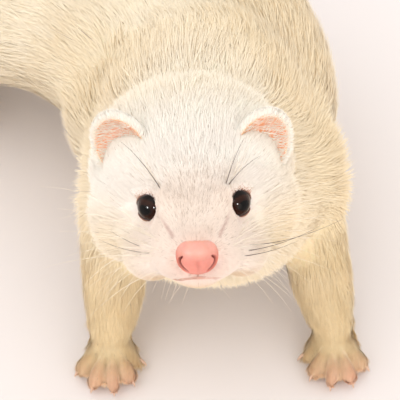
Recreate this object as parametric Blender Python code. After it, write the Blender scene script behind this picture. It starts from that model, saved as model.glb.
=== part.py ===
"""A life-size standing white ferret, as a still model for display.

The face looks towards -Y and the body curves round to the animal's right, which is -X. The floor is z = 0.
Sizes are in millimetres up to add_mesh(), which turns them into metres.
The outline of every flesh node is the outline of the coat, out to the tips of the fur.
"""

import math

import bmesh
import bpy
import numpy as np
from mathutils import Matrix, Vector
from mathutils.bvhtree import BVHTree

MM = 0.001
GAP = 0.3

# Stance of the head: the midpoint between the eyes, and how the head is turned
EYE_MIDDLE = Vector((0.0, 0.0, 92.0))
HEAD_PITCH, HEAD_ROLL, HEAD_YAW = 18.0, 1.4, 2.0

# Head, in its own axes: side, back from the eyes, and up
NOSE_REACH = 19.0
HEAD_FRONT_DOME, HEAD_BACK_DOME = 2.4, 11.0
NECK_CUT_BACK = 38.0

# Distance behind the nose tip, half width, top and bottom against the eyes' height
HEAD_SECTIONS = (
    (4.8, 7.2, -1.0, -12.8),
    (8.0, 9.6, 1.2, -14.6),
    (12.0, 11.4, 3.4, -15.8),
    (16.0, 12.4, 6.0, -16.8),
    (19.0, 14.6, 8.0, -18.0),
    (22.0, 17.8, 9.6, -19.2),
    (26.0, 21.8, 11.4, -21.0),
    (32.0, 26.0, 13.4, -23.0),
    (39.0, 28.4, 15.8, -24.8),
    (47.0, 28.8, 17.6, -26.0),
    (57.0, 27.8, 18.2, -26.8),
    (67.0, 25.2, 15.8, -26.8),
)

# Eyes: balls behind a fur-rimmed, egg-shaped opening
EYE_RADIUS = 4.5
EYE_SOCKET = 4.8
EYE_LID = 5.7
EYE_SPACING = 26.4
GAZE_OUT, GAZE_UP = 36.0, 12.0
LID_OPENING = (4.0, 3.6)

# Ears: root on the head, half width, half depth and height of the shell and of its cup
EAR_ROOT = {"right": (18.0, 19.6, 7.8), "left": (18.4, 18.8, 6.8)}
EAR_SHELL = (9.0, 4.9, 12.0)
EAR_CUP = (7.5, 6.3, 10.4)
EAR_CUP_SHIFT = 4.2
EAR_RISE = (0.50, 0.35, 0.79)
EAR_FACE = (0.0, -0.912, 0.406)
EAR_TURN = {"right": 20.0, "left": 13.0}

# Nose pad: width, height and depth, and its middle's height against the eyes
NOSE_SIZE = (12.0, 10.0, 8.6)
NOSE_LEVEL = -6.0
NOSTRIL_RADIUS = 0.75

# Line of the mouth in the head's axes, one side: side, back, up
MOUTH_LINE = ((0.0, -16.2, -11.4), (3.4, -15.4, -11.6), (6.2, -13.6, -12.0), (8.2, -11.4, -12.4))
MOUTH_RADIUS = 0.6

# Trunk stations from the head to the tail: x, y, z, half width, rise above the middle, depth below it
TRUNK = (
    (0.0, 25.0, 79.0, 23.0, 17.0, 19.0),
    (2.0, 33.0, 66.0, 28.0, 18.0, 24.0),
    (3.5, 40.5, 53.0, 31.0, 30.0, 27.5),
    (5.0, 52.0, 44.0, 34.5, 30.0, 26.5),
    (6.5, 72.0, 42.5, 38.0, 29.5, 26.0),
    (4.5, 91.0, 43.0, 42.0, 30.0, 26.5),
    (-4.0, 111.0, 44.0, 45.5, 32.0, 27.0),
    (-27.0, 132.0, 46.0, 44.5, 33.0, 27.0),
    (-62.0, 145.0, 47.5, 43.0, 33.0, 27.0),
    (-101.0, 150.0, 46.0, 38.0, 31.0, 27.0),
    (-130.0, 145.0, 39.0, 29.0, 25.0, 22.0),
    (-149.0, 138.0, 31.0, 15.0, 15.0, 13.0),
)
TRUNK_END_DOME = 8.0
INNER_FLANK = ((-19.0, 84.0, 41.0), (22.0, 28.0, 23.0))
NAPE = ((3.0, 66.0, 59.0), (32.0, 46.0, 25.0))
TAIL = (
    (-134.0, 146.0, 37.0, 13.0),
    (-154.0, 136.0, 29.0, 12.0),
    (-176.0, 126.0, 18.5, 12.0),
    (-202.0, 112.0, 11.0, 11.5),
    (-228.0, 94.0, 9.0, 10.0),
    (-248.0, 74.0, 7.0, 8.0),
    (-260.0, 55.0, 4.6, 5.0),
)

# Parting planes: a point on the middle line and the direction towards the tail
CHEST_CUT = ((5.0, 46.0, 51.0), (0.10, 0.62, -0.78))
BELLY_CUT = ((1.0, 96.0, 43.0), (-0.22, 0.97, 0.0))
RUMP_CUT = ((-68.0, 152.0, 47.0), (-0.99, 0.14, 0.0))
TAIL_CUT = ((-151.0, 137.0, 31.0), (-0.82, -0.42, -0.38))
TAIL_TIP_CUT = ((-206.0, 109.0, 10.5), (-0.82, -0.57, 0.0))

# Forelegs from the shoulder to the palm: x, y, z, radius
FORELEGS = {
    "right": (
        (-16.0, 60.0, 49.0, 17.0),
        (-19.5, 56.0, 41.0, 15.5),
        (-22.5, 51.0, 31.0, 13.0),
        (-24.0, 40.0, 21.5, 11.2),
        (-25.0, 31.0, 13.0, 9.2),
        (-25.5, 23.0, 7.0, 6.6),
    ),
    "left": (
        (28.0, 60.0, 49.0, 17.0),
        (31.5, 57.0, 41.0, 15.5),
        (34.0, 52.0, 31.0, 13.0),
        (37.5, 42.0, 21.5, 11.0),
        (40.5, 33.0, 13.0, 9.2),
        (42.5, 25.0, 7.0, 6.6),
    ),
}
ELBOW_AT, WRIST_AT = 2.35, 4.1

# Hind legs against the hip's place on the floor: forward, outward, height, radius
HIP = (-104.0, 149.5)
HIP_HEADING = 3.0
HIND_UPPER = ((-8.0, 22.5, 47.0, 19.0), (6.0, 24.5, 38.0, 19.0), (22.0, 26.5, 27.0, 14.5))
HIND_LOWER = ((22.0, 26.5, 26.0, 13.0), (4.0, 28.0, 17.5, 10.5), (-15.0, 28.5, 9.5, 8.6), (-17.0, 28.5, 7.4, 7.8))
HIND_SOLE = ((-16.0, 28.5, 7.2, 7.8), (-2.0, 29.0, 6.4, 7.0), (11.0, 29.5, 5.4, 6.4))
KNEE_HEIGHT, ANKLE_HEIGHT = 23.0, 12.4

# Paws: the palm's middle, the way the toes point, and each toe's direction and reach
FRONT_PALMS = {"right": ((-25.5, 21.0), -3.0), "left": ((42.5, 23.0), 3.0)}
FRONT_TOES = ((-48.0, 12.0, 3.4), (-18.0, 14.0, 3.6), (8.0, 14.2, 3.6), (34.0, 12.6, 3.4), (70.0, 9.8, 2.8))
HIND_PALM = (14.0, 29.5)
HIND_TOES = ((-40.0, 12.4, 3.3), (-17.0, 14.6, 3.5), (6.0, 15.0, 3.5), (28.0, 13.4, 3.3), (56.0, 10.4, 2.8))
CLAW = ((-3.0, 4.2, 0.9), (-0.6, 3.9, 0.95), (0.8, 3.0, 0.7), (1.7, 1.5, 0.3))

# Triangles for each kind of node
HEAD_TRIANGLES, BODY_TRIANGLES, PAW_TRIANGLES = 3250, 3350, 490

CREAM = (0.87, 0.79, 0.64)
WHITE = (0.93, 0.88, 0.80)
PINK = (0.86, 0.45, 0.38)
EAR_PINK = (0.90, 0.66, 0.52)
PAW_CREAM = (0.85, 0.67, 0.50)
EYE_DARK = (0.02, 0.012, 0.01)


def clear_scene():
    """Removes the objects of the startup scene."""
    for old in list(bpy.data.objects):
        bpy.data.objects.remove(old)


def add_material(name, colour, roughness):
    """A Principled finish of one colour."""
    material = bpy.data.materials.new(name)
    material.use_nodes = True
    shader = material.node_tree.nodes["Principled BSDF"]
    shader.inputs["Base Color"].default_value = (*colour, 1.0)
    shader.inputs["Roughness"].default_value = roughness
    shader.inputs["Metallic"].default_value = 0.0
    return material


def add_object(name, mesh):
    """Links a mesh into the scene as an object."""
    made = bpy.data.objects.new(name, mesh)
    bpy.context.scene.collection.objects.link(made)
    return made


def add_mesh(name, points, faces):
    """A closed mesh object from points in millimetres, facing out."""
    mesh = bpy.data.meshes.new(name)
    mesh.from_pydata([tuple(MM * float(c) for c in p) for p in points], [], faces)
    bm = bmesh.new()
    bm.from_mesh(mesh)
    bmesh.ops.recalc_face_normals(bm, faces=bm.faces)
    if bm.calc_volume(signed=True) < 0:
        bmesh.ops.reverse_faces(bm, faces=bm.faces)
    bm.to_mesh(mesh)
    bm.free()
    return add_object(name, mesh)


def smooth_rows(rows, per_span):
    """Rows on a smooth curve through the given ones, spaced by the distance between their points."""
    rows = np.asarray(rows, float)
    at = np.concatenate([[0.0], np.cumsum(np.linalg.norm(np.diff(rows[:, :3], axis=0), axis=1))])
    slope = np.gradient(rows, at, axis=0)
    spans = [np.linspace(a, b, per_span, endpoint=False) for a, b in zip(at, at[1:])]
    t = np.concatenate(spans + [at[-1:]])
    i = np.clip(np.searchsorted(at, t, side="right") - 1, 0, len(at) - 2)
    width = (at[i + 1] - at[i])[:, None]
    u = ((t - at[i]) / width[:, 0])[:, None]
    start = (1 + 2 * u) * (1 - u) ** 2 * rows[i] + u * (1 - u) ** 2 * width * slope[i]
    end = u**2 * (3 - 2 * u) * rows[i + 1] + u**2 * (u - 1) * width * slope[i + 1]
    return start + end


def sweep(name, stations, sides=24, per_span=4, hint=(0, 0, 1), squareness=2.0, domes=None):
    """A closed tube along stations of x, y, z, half width, rise and depth.

    Its ends are domes that reach as far as domes says, or 0.9 of the end's radius; a reach of 0 leaves a flat end.
    """
    rows = smooth_rows(stations, per_span)
    tangents = np.gradient(rows[:, :3], axis=0)
    tangents /= np.linalg.norm(tangents, axis=1)[:, None]
    across = np.cross(tangents, np.asarray(hint, float))
    across /= np.linalg.norm(across, axis=1)[:, None]
    upward = np.cross(across, tangents)
    turn = np.linspace(0, 2 * math.pi, sides, endpoint=False)
    bow = np.sign(np.cos(turn)) * np.abs(np.cos(turn)) ** (2 / squareness)
    rise = np.sign(np.sin(turn)) * np.abs(np.sin(turn)) ** (2 / squareness)
    last = len(rows) - 1
    if domes is None:
        domes = (0.9 * min(rows[0, 3:6]), 0.9 * min(rows[last, 3:6]))
    steps = [math.radians(a) for a in (75, 50, 25)]
    plan = [(0, math.cos(a), -domes[0] * math.sin(a)) for a in steps if domes[0] > 0]
    plan += [(k, 1.0, 0.0) for k in range(len(rows))]
    plan += [(last, math.cos(a), domes[1] * math.sin(a)) for a in reversed(steps) if domes[1] > 0]
    rings = []
    for k, share, shift in plan:
        height = np.where(rise > 0, rows[k, 4], rows[k, 5]) * rise
        offset = bow[:, None] * rows[k, 3] * across[k] + height[:, None] * upward[k]
        rings.append(rows[k, :3] + shift * tangents[k] + share * offset)
    faces = []
    for r in range(len(rings) - 1):
        for s in range(sides):
            n = (s + 1) % sides
            faces.append((r * sides + s, r * sides + n, (r + 1) * sides + n, (r + 1) * sides + s))
    faces.append(tuple(reversed(range(sides))))
    faces.append(tuple((len(rings) - 1) * sides + s for s in range(sides)))
    return add_mesh(name, np.concatenate(rings), faces)


def round_sweep(name, stations, **options):
    """A tube of round section through stations of x, y, z and radius."""
    return sweep(name, [(x, y, z, r, r, r) for x, y, z, r in stations], **options)


def ellipsoid(name, centre, radii, turn=None, segments=24, rings=14):
    """A stretched ball; turn is its 3 by 3 rotation."""
    bm = bmesh.new()
    bmesh.ops.create_uvsphere(bm, u_segments=segments, v_segments=rings, radius=MM)
    matrix = Matrix.Translation(Vector(centre) * MM)
    if turn is not None:
        matrix = matrix @ turn.to_4x4()
    matrix = matrix @ Matrix.Diagonal((*radii, 1.0))
    bmesh.ops.transform(bm, matrix=matrix, verts=bm.verts)
    mesh = bpy.data.meshes.new(name)
    bm.to_mesh(mesh)
    bm.free()
    return add_object(name, mesh)


def remove(*objects):
    """Deletes helper objects."""
    for old in objects:
        bpy.data.objects.remove(old)


def settle(made):
    """Applies an object's modifiers to its mesh."""
    bpy.context.view_layer.update()
    graph = bpy.context.evaluated_depsgraph_get()
    mesh = bpy.data.meshes.new_from_object(made.evaluated_get(graph))
    made.modifiers.clear()
    made.data = mesh
    return made


def copy_of(made, name):
    """A separate copy of an object and its mesh."""
    return add_object(name, made.data.copy())


def gathered(name, pieces):
    """One object holding copies of several closed shapes."""
    bm = bmesh.new()
    for piece in pieces:
        bm.from_mesh(piece.data)
    mesh = bpy.data.meshes.new(name)
    bm.to_mesh(mesh)
    bm.free()
    return add_object(name, mesh)


def melted(name, pieces, voxel, rounds):
    """Overlapping shapes melted into one smooth skin."""
    made = gathered(name, pieces)
    melt = made.modifiers.new("melt", "REMESH")
    melt.mode = "VOXEL"
    melt.voxel_size = voxel * MM
    soften = made.modifiers.new("soften", "SMOOTH")
    soften.factor = 0.5
    soften.iterations = rounds
    settle(made)
    return nearest_part(made)


def thinned(made, name, triangles):
    """A copy of a skin with about that many triangles."""
    twin = copy_of(made, name)
    thin = twin.modifiers.new("thin", "DECIMATE")
    thin.ratio = min(1.0, triangles / (2.0 * len(twin.data.polygons)))
    thin.use_collapse_triangulate = True
    return settle(twin)


def islands(bm):
    """The connected pieces of a mesh, each a set of vertices."""
    left = set(bm.verts)
    found = []
    while left:
        start = left.pop()
        island, edge = {start}, [start]
        while edge:
            vert = edge.pop()
            for link in vert.link_edges:
                other = link.other_vert(vert)
                if other in left:
                    left.discard(other)
                    island.add(other)
                    edge.append(other)
        found.append(island)
    return found


def nearest_part(made, seed=None):
    """Keeps one closed surface: the largest, or of the larger ones the one whose middle is nearest the seed."""
    bm = bmesh.new()
    bm.from_mesh(made.data)
    found = islands(bm)
    most = max(len(island) for island in found)
    keep = max(found, key=len)
    if seed is not None:
        target = Vector(seed) * MM

        def distance(island):
            middle = sum((v.co for v in island), Vector()) / len(island)
            return (middle - target).length

        keep = min((island for island in found if len(island) > 0.08 * most), key=distance)
    spare = [v for island in found if island is not keep for v in island]
    bmesh.ops.delete(bm, geom=spare, context="VERTS")
    bm.to_mesh(made.data)
    bm.free()
    return made


def halved(made, point, normal):
    """Cuts a mesh by a plane, keeps the side that the normal points to, and closes the cut."""
    bm = bmesh.new()
    bm.from_mesh(made.data)
    geometry = bm.verts[:] + bm.edges[:] + bm.faces[:]
    plane = Vector(point) * MM
    cut = bmesh.ops.bisect_plane(
        bm, geom=geometry, dist=1e-7, plane_co=plane, plane_no=Vector(normal), clear_inner=True
    )
    rim = [e for e in cut["geom_cut"] if isinstance(e, bmesh.types.BMEdge)]
    bmesh.ops.holes_fill(bm, edges=rim, sides=0)
    bmesh.ops.triangulate(bm, faces=[f for f in bm.faces if len(f.verts) > 3])
    bm.to_mesh(made.data)
    bm.free()
    return made


def between(whole, name, front, back, seed):
    """The length of a body between two parting planes, either of which may be None."""
    made = copy_of(whole, name)
    for cut, way in ((front, 1), (back, -1)):
        if cut is not None:
            direction = Vector(cut[1]).normalized() * way
            halved(made, Vector(cut[0]) + direction * GAP / 2, direction)
    return nearest_part(made, seed)


def combined(made, other, operation):
    """Applies one Boolean with another mesh."""
    change = made.modifiers.new("change", "BOOLEAN")
    change.operation = operation
    change.solver = "EXACT"
    change.object = other
    return settle(made)


def with_pieces(made, pieces, operation):
    """Applies one Boolean with a collection of closed meshes, and deletes them."""
    group = bpy.data.collections.new(made.name + "_pieces")
    bpy.context.scene.collection.children.link(group)
    for piece in pieces:
        bpy.context.scene.collection.objects.unlink(piece)
        group.objects.link(piece)
    change = made.modifiers.new("change", "BOOLEAN")
    change.operation = operation
    change.solver = "EXACT"
    change.operand_type = "COLLECTION"
    change.collection = group
    settle(made)
    remove(*pieces)
    bpy.data.collections.remove(group)
    return nearest_part(made)


def swollen(made, name, by):
    """A copy with its surface moved out by a few tenths of a millimetre."""
    twin = copy_of(made, name)
    swell = twin.modifiers.new("swell", "DISPLACE")
    swell.strength = by * MM
    swell.mid_level = 0.0
    return settle(twin)


def head_turn():
    """The head's rotation, from its own axes to the floor's."""
    yaw = Matrix.Rotation(math.radians(HEAD_YAW), 3, "Z")
    pitch = Matrix.Rotation(math.radians(-HEAD_PITCH), 3, "X")
    roll = Matrix.Rotation(math.radians(-HEAD_ROLL), 3, "Y")
    return yaw @ pitch @ roll


HEAD = head_turn()


def on_head(side, back, up):
    """A point given in the head's own axes."""
    return EYE_MIDDLE + HEAD @ Vector((side, back, up))


def gaze(side):
    """The way an eye looks, in the head's axes."""
    out, up = math.radians(GAZE_OUT), math.radians(GAZE_UP)
    return Vector((side * math.sin(out) * math.cos(up), -math.cos(out) * math.cos(up), math.sin(up)))


def eye_centre(side):
    """The middle of an eye's ball, in the head's axes, so that its front lies midway up the lids."""
    return Vector((side * EYE_SPACING / 2, 0.0, 0.0)) - gaze(side) * EYE_RADIUS


def facing(direction, rise):
    """A rotation whose second axis is the direction and whose third is close to the rise."""
    forward = Vector(direction).normalized()
    side = forward.cross(Vector(rise)).normalized()
    return Matrix((side, forward, side.cross(forward))).transposed()


def head_flesh():
    """The overlapping shapes of the head."""
    rows = []
    for behind, half, top, bottom in HEAD_SECTIONS:
        centre = on_head(0.0, behind - NOSE_REACH, (top + bottom) / 2)
        rows.append((*centre, half, (top - bottom) / 2, (top - bottom) / 2))
    up = HEAD @ Vector((0, 0, 1))
    domes = (HEAD_FRONT_DOME, HEAD_BACK_DOME)
    flesh = [sweep("skull", rows, sides=40, per_span=3, hint=up, squareness=2.2, domes=domes)]
    for side in (-1, 1):
        flesh.append(ellipsoid("whisker_pad", on_head(side * 5.8, -11.0, -8.6), (6.0, 6.6, 5.3), HEAD))
        flesh.append(ellipsoid("jowl", on_head(side * 11.5, -0.5, -12.2), (8.6, 10.8, 7.4), HEAD))
        flesh.append(ellipsoid("cheek", on_head(side * 16.5, 15.0, -9.5), (12.6, 15.5, 14.0), HEAD))
        flesh.append(ellipsoid("brow", on_head(side * 7.6, 0.5, 4.6), (4.4, 7.0, 3.0), HEAD))
        flesh.append(ellipsoid("ear_base", on_head(side * 18.0, 22.5, 3.5), (7.5, 8.5, 8.5), HEAD))
        flesh.append(ellipsoid("lid", on_head(*eye_centre(side)), (EYE_LID,) * 3, HEAD))
    flesh.append(ellipsoid("chin", on_head(0.0, -10.5, -13.4), (6.8, 6.8, 3.4), HEAD))
    flesh.append(ellipsoid("bridge", on_head(0.0, -7.0, -1.2), (5.6, 10.2, 4.8), HEAD))
    return flesh


def trunk_flesh():
    """The trunk and the tail."""
    return [
        sweep("trunk", TRUNK, sides=36, per_span=4, squareness=2.15, domes=(10.0, TRUNK_END_DOME)),
        round_sweep("tail_flesh", TAIL, sides=20, per_span=3),
        ellipsoid("inner_flank", *INNER_FLANK),
        ellipsoid("nape", *NAPE),
    ]


def hind_point(side, forward, outward, height):
    """A point beside a hind leg, from the hip's place on the floor."""
    turn = math.radians(HIP_HEADING)
    ahead = Vector((math.cos(turn), math.sin(turn), 0.0))
    left = Vector((-math.sin(turn), math.cos(turn), 0.0))
    return Vector((*HIP, height)) + ahead * forward + left * side * outward


def hind_rows(side, rows):
    """Stations of a hind leg on the floor's axes."""
    return [(*hind_point(side, f, o, z), r) for f, o, z, r in rows]


def leg_flesh(grow=0.0):
    """The round shapes of each leg, grown by a margin where they serve as cutters."""
    shapes = {}
    for name, rows in FORELEGS.items():
        grown = [(x, y, z, r + grow) for x, y, z, r in rows]
        shapes["fore_" + name] = [round_sweep("foreleg", grown, hint=(1, 0, 0), per_span=4)]
    for name, side in (("right", -1), ("left", 1)):
        upper = [(x, y, z, r + grow) for x, y, z, r in hind_rows(side, HIND_UPPER)]
        lower = [(x, y, z, r + grow) for x, y, z, r in hind_rows(side, HIND_LOWER)]
        pair = [round_sweep("thigh_flesh", upper, hint=(0, 1, 0), per_span=4)]
        pair.append(round_sweep("shank_flesh", lower, hint=(0, 1, 0), per_span=4))
        shapes["hind_" + name] = pair
    return shapes


def cut_at(rows, where):
    """A parting plane across a leg, at a place counted in stations from its top."""
    rows = smooth_rows(rows, 20)
    k = int(round(where * 20))
    return tuple(rows[k, :3]), tuple(rows[k + 1, :3] - rows[k - 1, :3])


def claw(base, ahead):
    """One curved claw whose root is sunk into a toe's tip."""
    rows = []
    for along, height, radius in CLAW:
        place = Vector(base) + Vector(ahead) * along
        rows.append((place.x, place.y, height, radius))
    side = Vector(ahead).cross(Vector((0, 0, 1)))
    return round_sweep("claw", rows, sides=7, per_span=1, hint=side, domes=(0, 0))


def paw(name, palm, ahead, inward, toes, above, keep):
    """A paw: palm, five toes and their claws; above is the flesh over it, and keep is the plane that ends it."""
    centre = Vector((palm[0], palm[1], 0.0))
    pieces = list(above)
    pieces.append(ellipsoid("palm", centre + Vector((0, 0, 4.6)), (8.4, 8.0, 5.3), facing(ahead, (0, 0, 1))))
    claws = []
    for angle, reach, radius in toes:
        spread = math.radians(angle)
        way = ahead * math.cos(spread) + inward * math.sin(spread)
        rows = []
        for along, height, width in ((0.28 * reach, 5.4, 1.05), (0.6 * reach, 5.0, 1.0), (reach - radius, 3.4, 0.98)):
            place = centre + way * along
            rows.append((place.x, place.y, height, radius * width))
        side = way.cross(Vector((0, 0, 1)))
        pieces.append(round_sweep("toe", rows, sides=14, per_span=3, hint=side))
        claws.append(claw(centre + way * reach, way))
    skin = melted(name + "_skin", pieces, 0.75, 2)
    made = thinned(skin, name, PAW_TRIANGLES)
    remove(skin, *pieces)
    halved(made, *keep)
    halved(made, (0, 0, 0), (0, 0, 1))
    nearest_part(made, centre)
    return with_pieces(made, claws, "UNION")


def eye_cutter(side):
    """The socket and the egg-shaped opening of the lids, as one closed tool."""
    centre = eye_centre(side)
    look = gaze(side)
    turn = HEAD @ facing(look, (0, 0, 1))
    socket = ellipsoid("socket", on_head(*centre), (EYE_SOCKET,) * 3, turn, 28, 16)
    mouth = on_head(*(centre + look * (EYE_RADIUS + 1.0)))
    wide, tall = LID_OPENING
    rows = []
    for step in (-3.2, 0.0, 4.0):
        place = mouth + turn @ Vector((0.0, step, 0.0))
        flare = 1.0 + 0.05 * max(0.0, step)
        rows.append((*place, wide * flare, tall * flare, tall * 0.92 * flare))
    opening = sweep("opening", rows, sides=24, per_span=1, hint=turn @ Vector((0, 0, 1)), domes=(0, 0))
    combined(socket, opening, "UNION")
    remove(opening)
    return nearest_part(socket)


def mouth_cutter(surface):
    """The groove of the mouth, laid on the head's surface."""
    half = smooth_rows(MOUTH_LINE, 4)
    line = [(-x, y, z) for x, y, z in reversed(half[1:])] + [tuple(p) for p in half]
    rows = []
    for point in line:
        spot, normal, _, _ = surface.find_nearest(on_head(*point) * MM)
        place = spot / MM - normal * 0.25
        fade = 1.0 - 0.45 * abs(point[0]) / MOUTH_LINE[-1][0]
        rows.append((*place, MOUTH_RADIUS * fade))
    return round_sweep("mouth", rows, sides=10, per_span=1, hint=HEAD @ Vector((0, 0, 1)))


def carved_head(head):
    """Cuts the eyes' sockets and the mouth into the head."""
    bpy.context.view_layer.update()
    surface = BVHTree.FromObject(head, bpy.context.evaluated_depsgraph_get())
    tools = [eye_cutter(-1), eye_cutter(1), mouth_cutter(surface)]
    return with_pieces(head, tools, "DIFFERENCE")


def add_eye(name, side):
    """An eye's ball."""
    turn = HEAD @ facing(gaze(side), (0, 0, 1)) @ Matrix.Rotation(math.radians(90), 3, "X")
    return ellipsoid(name, on_head(*eye_centre(side)), (EYE_RADIUS,) * 3, turn, 20, 12)


def add_ear(key, side, clear_of):
    """A cupped ear, its foot cut to the head."""
    rise = Vector((side * EAR_RISE[0], EAR_RISE[1], EAR_RISE[2])).normalized()
    face = Vector(EAR_FACE).normalized()
    out = face.cross(rise).normalized()
    if out.x * side < 0:
        out.negate()
    turned = math.radians(EAR_TURN[key])
    look = face * math.cos(turned) + out * math.sin(turned)
    turn = HEAD @ facing(look, rise)
    across, back, up = EAR_ROOT[key]
    root = Vector((side * across, back, up))
    made = ellipsoid("ear_" + key, on_head(*root), EAR_SHELL, turn, 28, 18)
    cup = ellipsoid("cup", on_head(*(root + look * EAR_CUP_SHIFT)), EAR_CUP, turn, 28, 18)
    with_pieces(made, [cup, copy_of(clear_of, "near_head")], "DIFFERENCE")
    top = on_head(*(root + rise * EAR_SHELL[2] * 0.7))
    return nearest_part(made, top)


def add_nose(clear_of):
    """The nose pad with its nostrils and the furrow below."""
    wide, tall, deep = NOSE_SIZE
    middle = (0.0, -NOSE_REACH + deep / 2, NOSE_LEVEL)
    pieces = [ellipsoid("pad", on_head(*middle), (wide / 2, deep / 2, tall / 2), HEAD, 28, 18)]
    top = (0.0, -NOSE_REACH + deep * 0.42, NOSE_LEVEL + tall * 0.2)
    pieces.append(ellipsoid("top", on_head(*top), (wide * 0.4, deep * 0.44, tall * 0.34), HEAD, 20, 12))
    for side in (-1, 1):
        wing = (side * wide * 0.235, -NOSE_REACH + deep * 0.5, NOSE_LEVEL + tall * 0.03)
        pieces.append(ellipsoid("wing", on_head(*wing), (wide * 0.26, deep * 0.42, tall * 0.38), HEAD, 20, 12))
    skin = melted("nose_skin", pieces, 0.35, 3)
    made = thinned(skin, "nose", 420)
    remove(skin, *pieces)
    tools = []
    for side in (-1, 1):
        rows = []
        for across, up, back, size in ((0.21, -0.16, 0.02, 0.9), (0.33, -0.20, 0.14, 1.0), (0.45, -0.05, 0.34, 0.75)):
            place = on_head(side * wide * across, -NOSE_REACH + deep * back + 0.1, NOSE_LEVEL + tall * up)
            rows.append((*place, NOSTRIL_RADIUS * size))
        tools.append(round_sweep("nostril", rows, sides=8, per_span=2, hint=HEAD @ Vector((0, 1, 0.2))))
    rows = []
    for up, back in ((-0.12, -0.02), (-0.3, 0.02), (-0.48, 0.12), (-0.62, 0.3)):
        rows.append((*on_head(0.0, -NOSE_REACH + deep * back, NOSE_LEVEL + tall * up), 0.35))
    tools.append(round_sweep("furrow", rows, sides=8, per_span=1, hint=HEAD @ Vector((1, 0, 0))))
    with_pieces(made, tools + [copy_of(clear_of, "near_head")], "DIFFERENCE")
    return nearest_part(made, on_head(0.0, -NOSE_REACH, NOSE_LEVEL))


def head_cut():
    """The parting plane between the head and the neck."""
    return tuple(on_head(0.0, NECK_CUT_BACK, 0.0)), tuple(HEAD @ Vector((0.0, 1.0, 0.0)))


def build_legs(body, bubbles, nodes):
    """The legs down to the wrists and ankles, each out of the body by its bubble."""
    knee = ((0, 0, KNEE_HEIGHT), (0, 0, -1))
    ankle = ((0, 0, ANKLE_HEIGHT), (0, 0, -1))
    for name, side in (("right", -1), ("left", 1)):
        rows = FORELEGS[name]
        elbow, wrist = cut_at(rows, ELBOW_AT), cut_at(rows, WRIST_AT)
        leg = combined(copy_of(body, "leg"), bubbles["fore_" + name], "INTERSECT")
        nodes["upper_arm_" + name] = between(leg, "upper_arm_" + name, None, elbow, rows[1][:3])
        nodes["forearm_" + name] = between(leg, "forearm_" + name, elbow, wrist, rows[3][:3])
        remove(leg)
        leg = combined(copy_of(body, "leg"), bubbles["hind_" + name], "INTERSECT")
        nodes["thigh_" + name] = between(leg, "thigh_" + name, None, knee, hind_point(side, *HIND_UPPER[1][:3]))
        nodes["shank_" + name] = between(leg, "shank_" + name, knee, ankle, hind_point(side, *HIND_LOWER[1][:3]))
        remove(leg)


def build_body(skin, nodes):
    """Trunk, tail and legs from the melted skin."""
    body = thinned(skin, "body", BODY_TRIANGLES)
    halved(body, (0, 0, 0), (0, 0, 1))
    nearest_part(body)
    bubbles = {}
    for key, pieces in leg_flesh(grow=1.8).items():
        bubble = melted("bubble_skin", pieces, 2.5, 1)
        bubbles[key] = thinned(bubble, "bubble_" + key, 300)
        remove(bubble, *pieces)
    build_legs(body, bubbles, nodes)
    for bubble in bubbles.values():
        wide = swollen(bubble, "wide", GAP)
        combined(body, wide, "DIFFERENCE")
        remove(wide, bubble)
    lengths = (
        ("neck", head_cut(), CHEST_CUT, TRUNK[2][:3]),
        ("chest", CHEST_CUT, BELLY_CUT, TRUNK[4][:3]),
        ("belly", BELLY_CUT, RUMP_CUT, TRUNK[7][:3]),
        ("rump", RUMP_CUT, TAIL_CUT, TRUNK[9][:3]),
        ("tail_base", TAIL_CUT, TAIL_TIP_CUT, TAIL[2][:3]),
        ("tail_tip", TAIL_TIP_CUT, None, TAIL[5][:3]),
    )
    for name, front, back, seed in lengths:
        nodes[name] = between(body, name, front, back, seed)
    remove(body)


def build_paws(shapes, nodes):
    """The four paws."""
    for name, side in (("right", -1), ("left", 1)):
        point, way = cut_at(FORELEGS[name], WRIST_AT)
        down = Vector(way).normalized()
        keep = (Vector(point) + down * GAP / 2, down)
        palm, heading = FRONT_PALMS[name]
        turn = math.radians(heading)
        ahead = Vector((math.sin(turn), -math.cos(turn), 0.0))
        inward = Vector((-side * math.cos(turn), -side * math.sin(turn), 0.0))
        label = "front_paw_" + name
        nodes[label] = paw(label, palm, ahead, inward, FRONT_TOES, shapes["fore_" + name], keep)

        turn = math.radians(HIP_HEADING)
        ahead = Vector((math.cos(turn), math.sin(turn), 0.0))
        inward = Vector((side * math.sin(turn), -side * math.cos(turn), 0.0))
        palm = hind_point(side, *HIND_PALM, 0.0)
        keep = (Vector((0, 0, ANKLE_HEIGHT - GAP / 2)), Vector((0, 0, -1)))
        sole = round_sweep("sole", hind_rows(side, HIND_SOLE), hint=(0, 0, 1), per_span=3, sides=20)
        heel = [shapes["hind_" + name][1], sole]
        label = "hind_foot_" + name
        nodes[label] = paw(label, palm[:2], ahead, inward, HIND_TOES, heel, keep)


def build_head(skin, nodes):
    """The head with its eyes, ears and nose."""
    fine = thinned(skin, "fine", HEAD_TRIANGLES * 3)
    head = between(fine, "head", None, head_cut(), on_head(0.0, 12.0, -5.0))
    remove(fine)
    clear_of = swollen(head, "clear_of", GAP)
    carved_head(head)
    nodes["head"] = head
    for name, side in (("right", -1), ("left", 1)):
        nodes["eye_" + name] = add_eye("eye_" + name, side)
        nodes["ear_" + name] = add_ear(name, side, clear_of)
    nodes["nose"] = add_nose(clear_of)
    remove(clear_of)


def centre_on_floor(nodes):
    """Moves every node so that the model stands on z = 0 about the middle of its outline."""
    spots = np.concatenate([[v.co[:] for v in node.data.vertices] for node in nodes])
    low, high = spots.min(axis=0), spots.max(axis=0)
    shift = Vector((-(low[0] + high[0]) / 2, -(low[1] + high[1]) / 2, 0.0))
    for node in nodes:
        node.data.transform(Matrix.Translation(shift))


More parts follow.
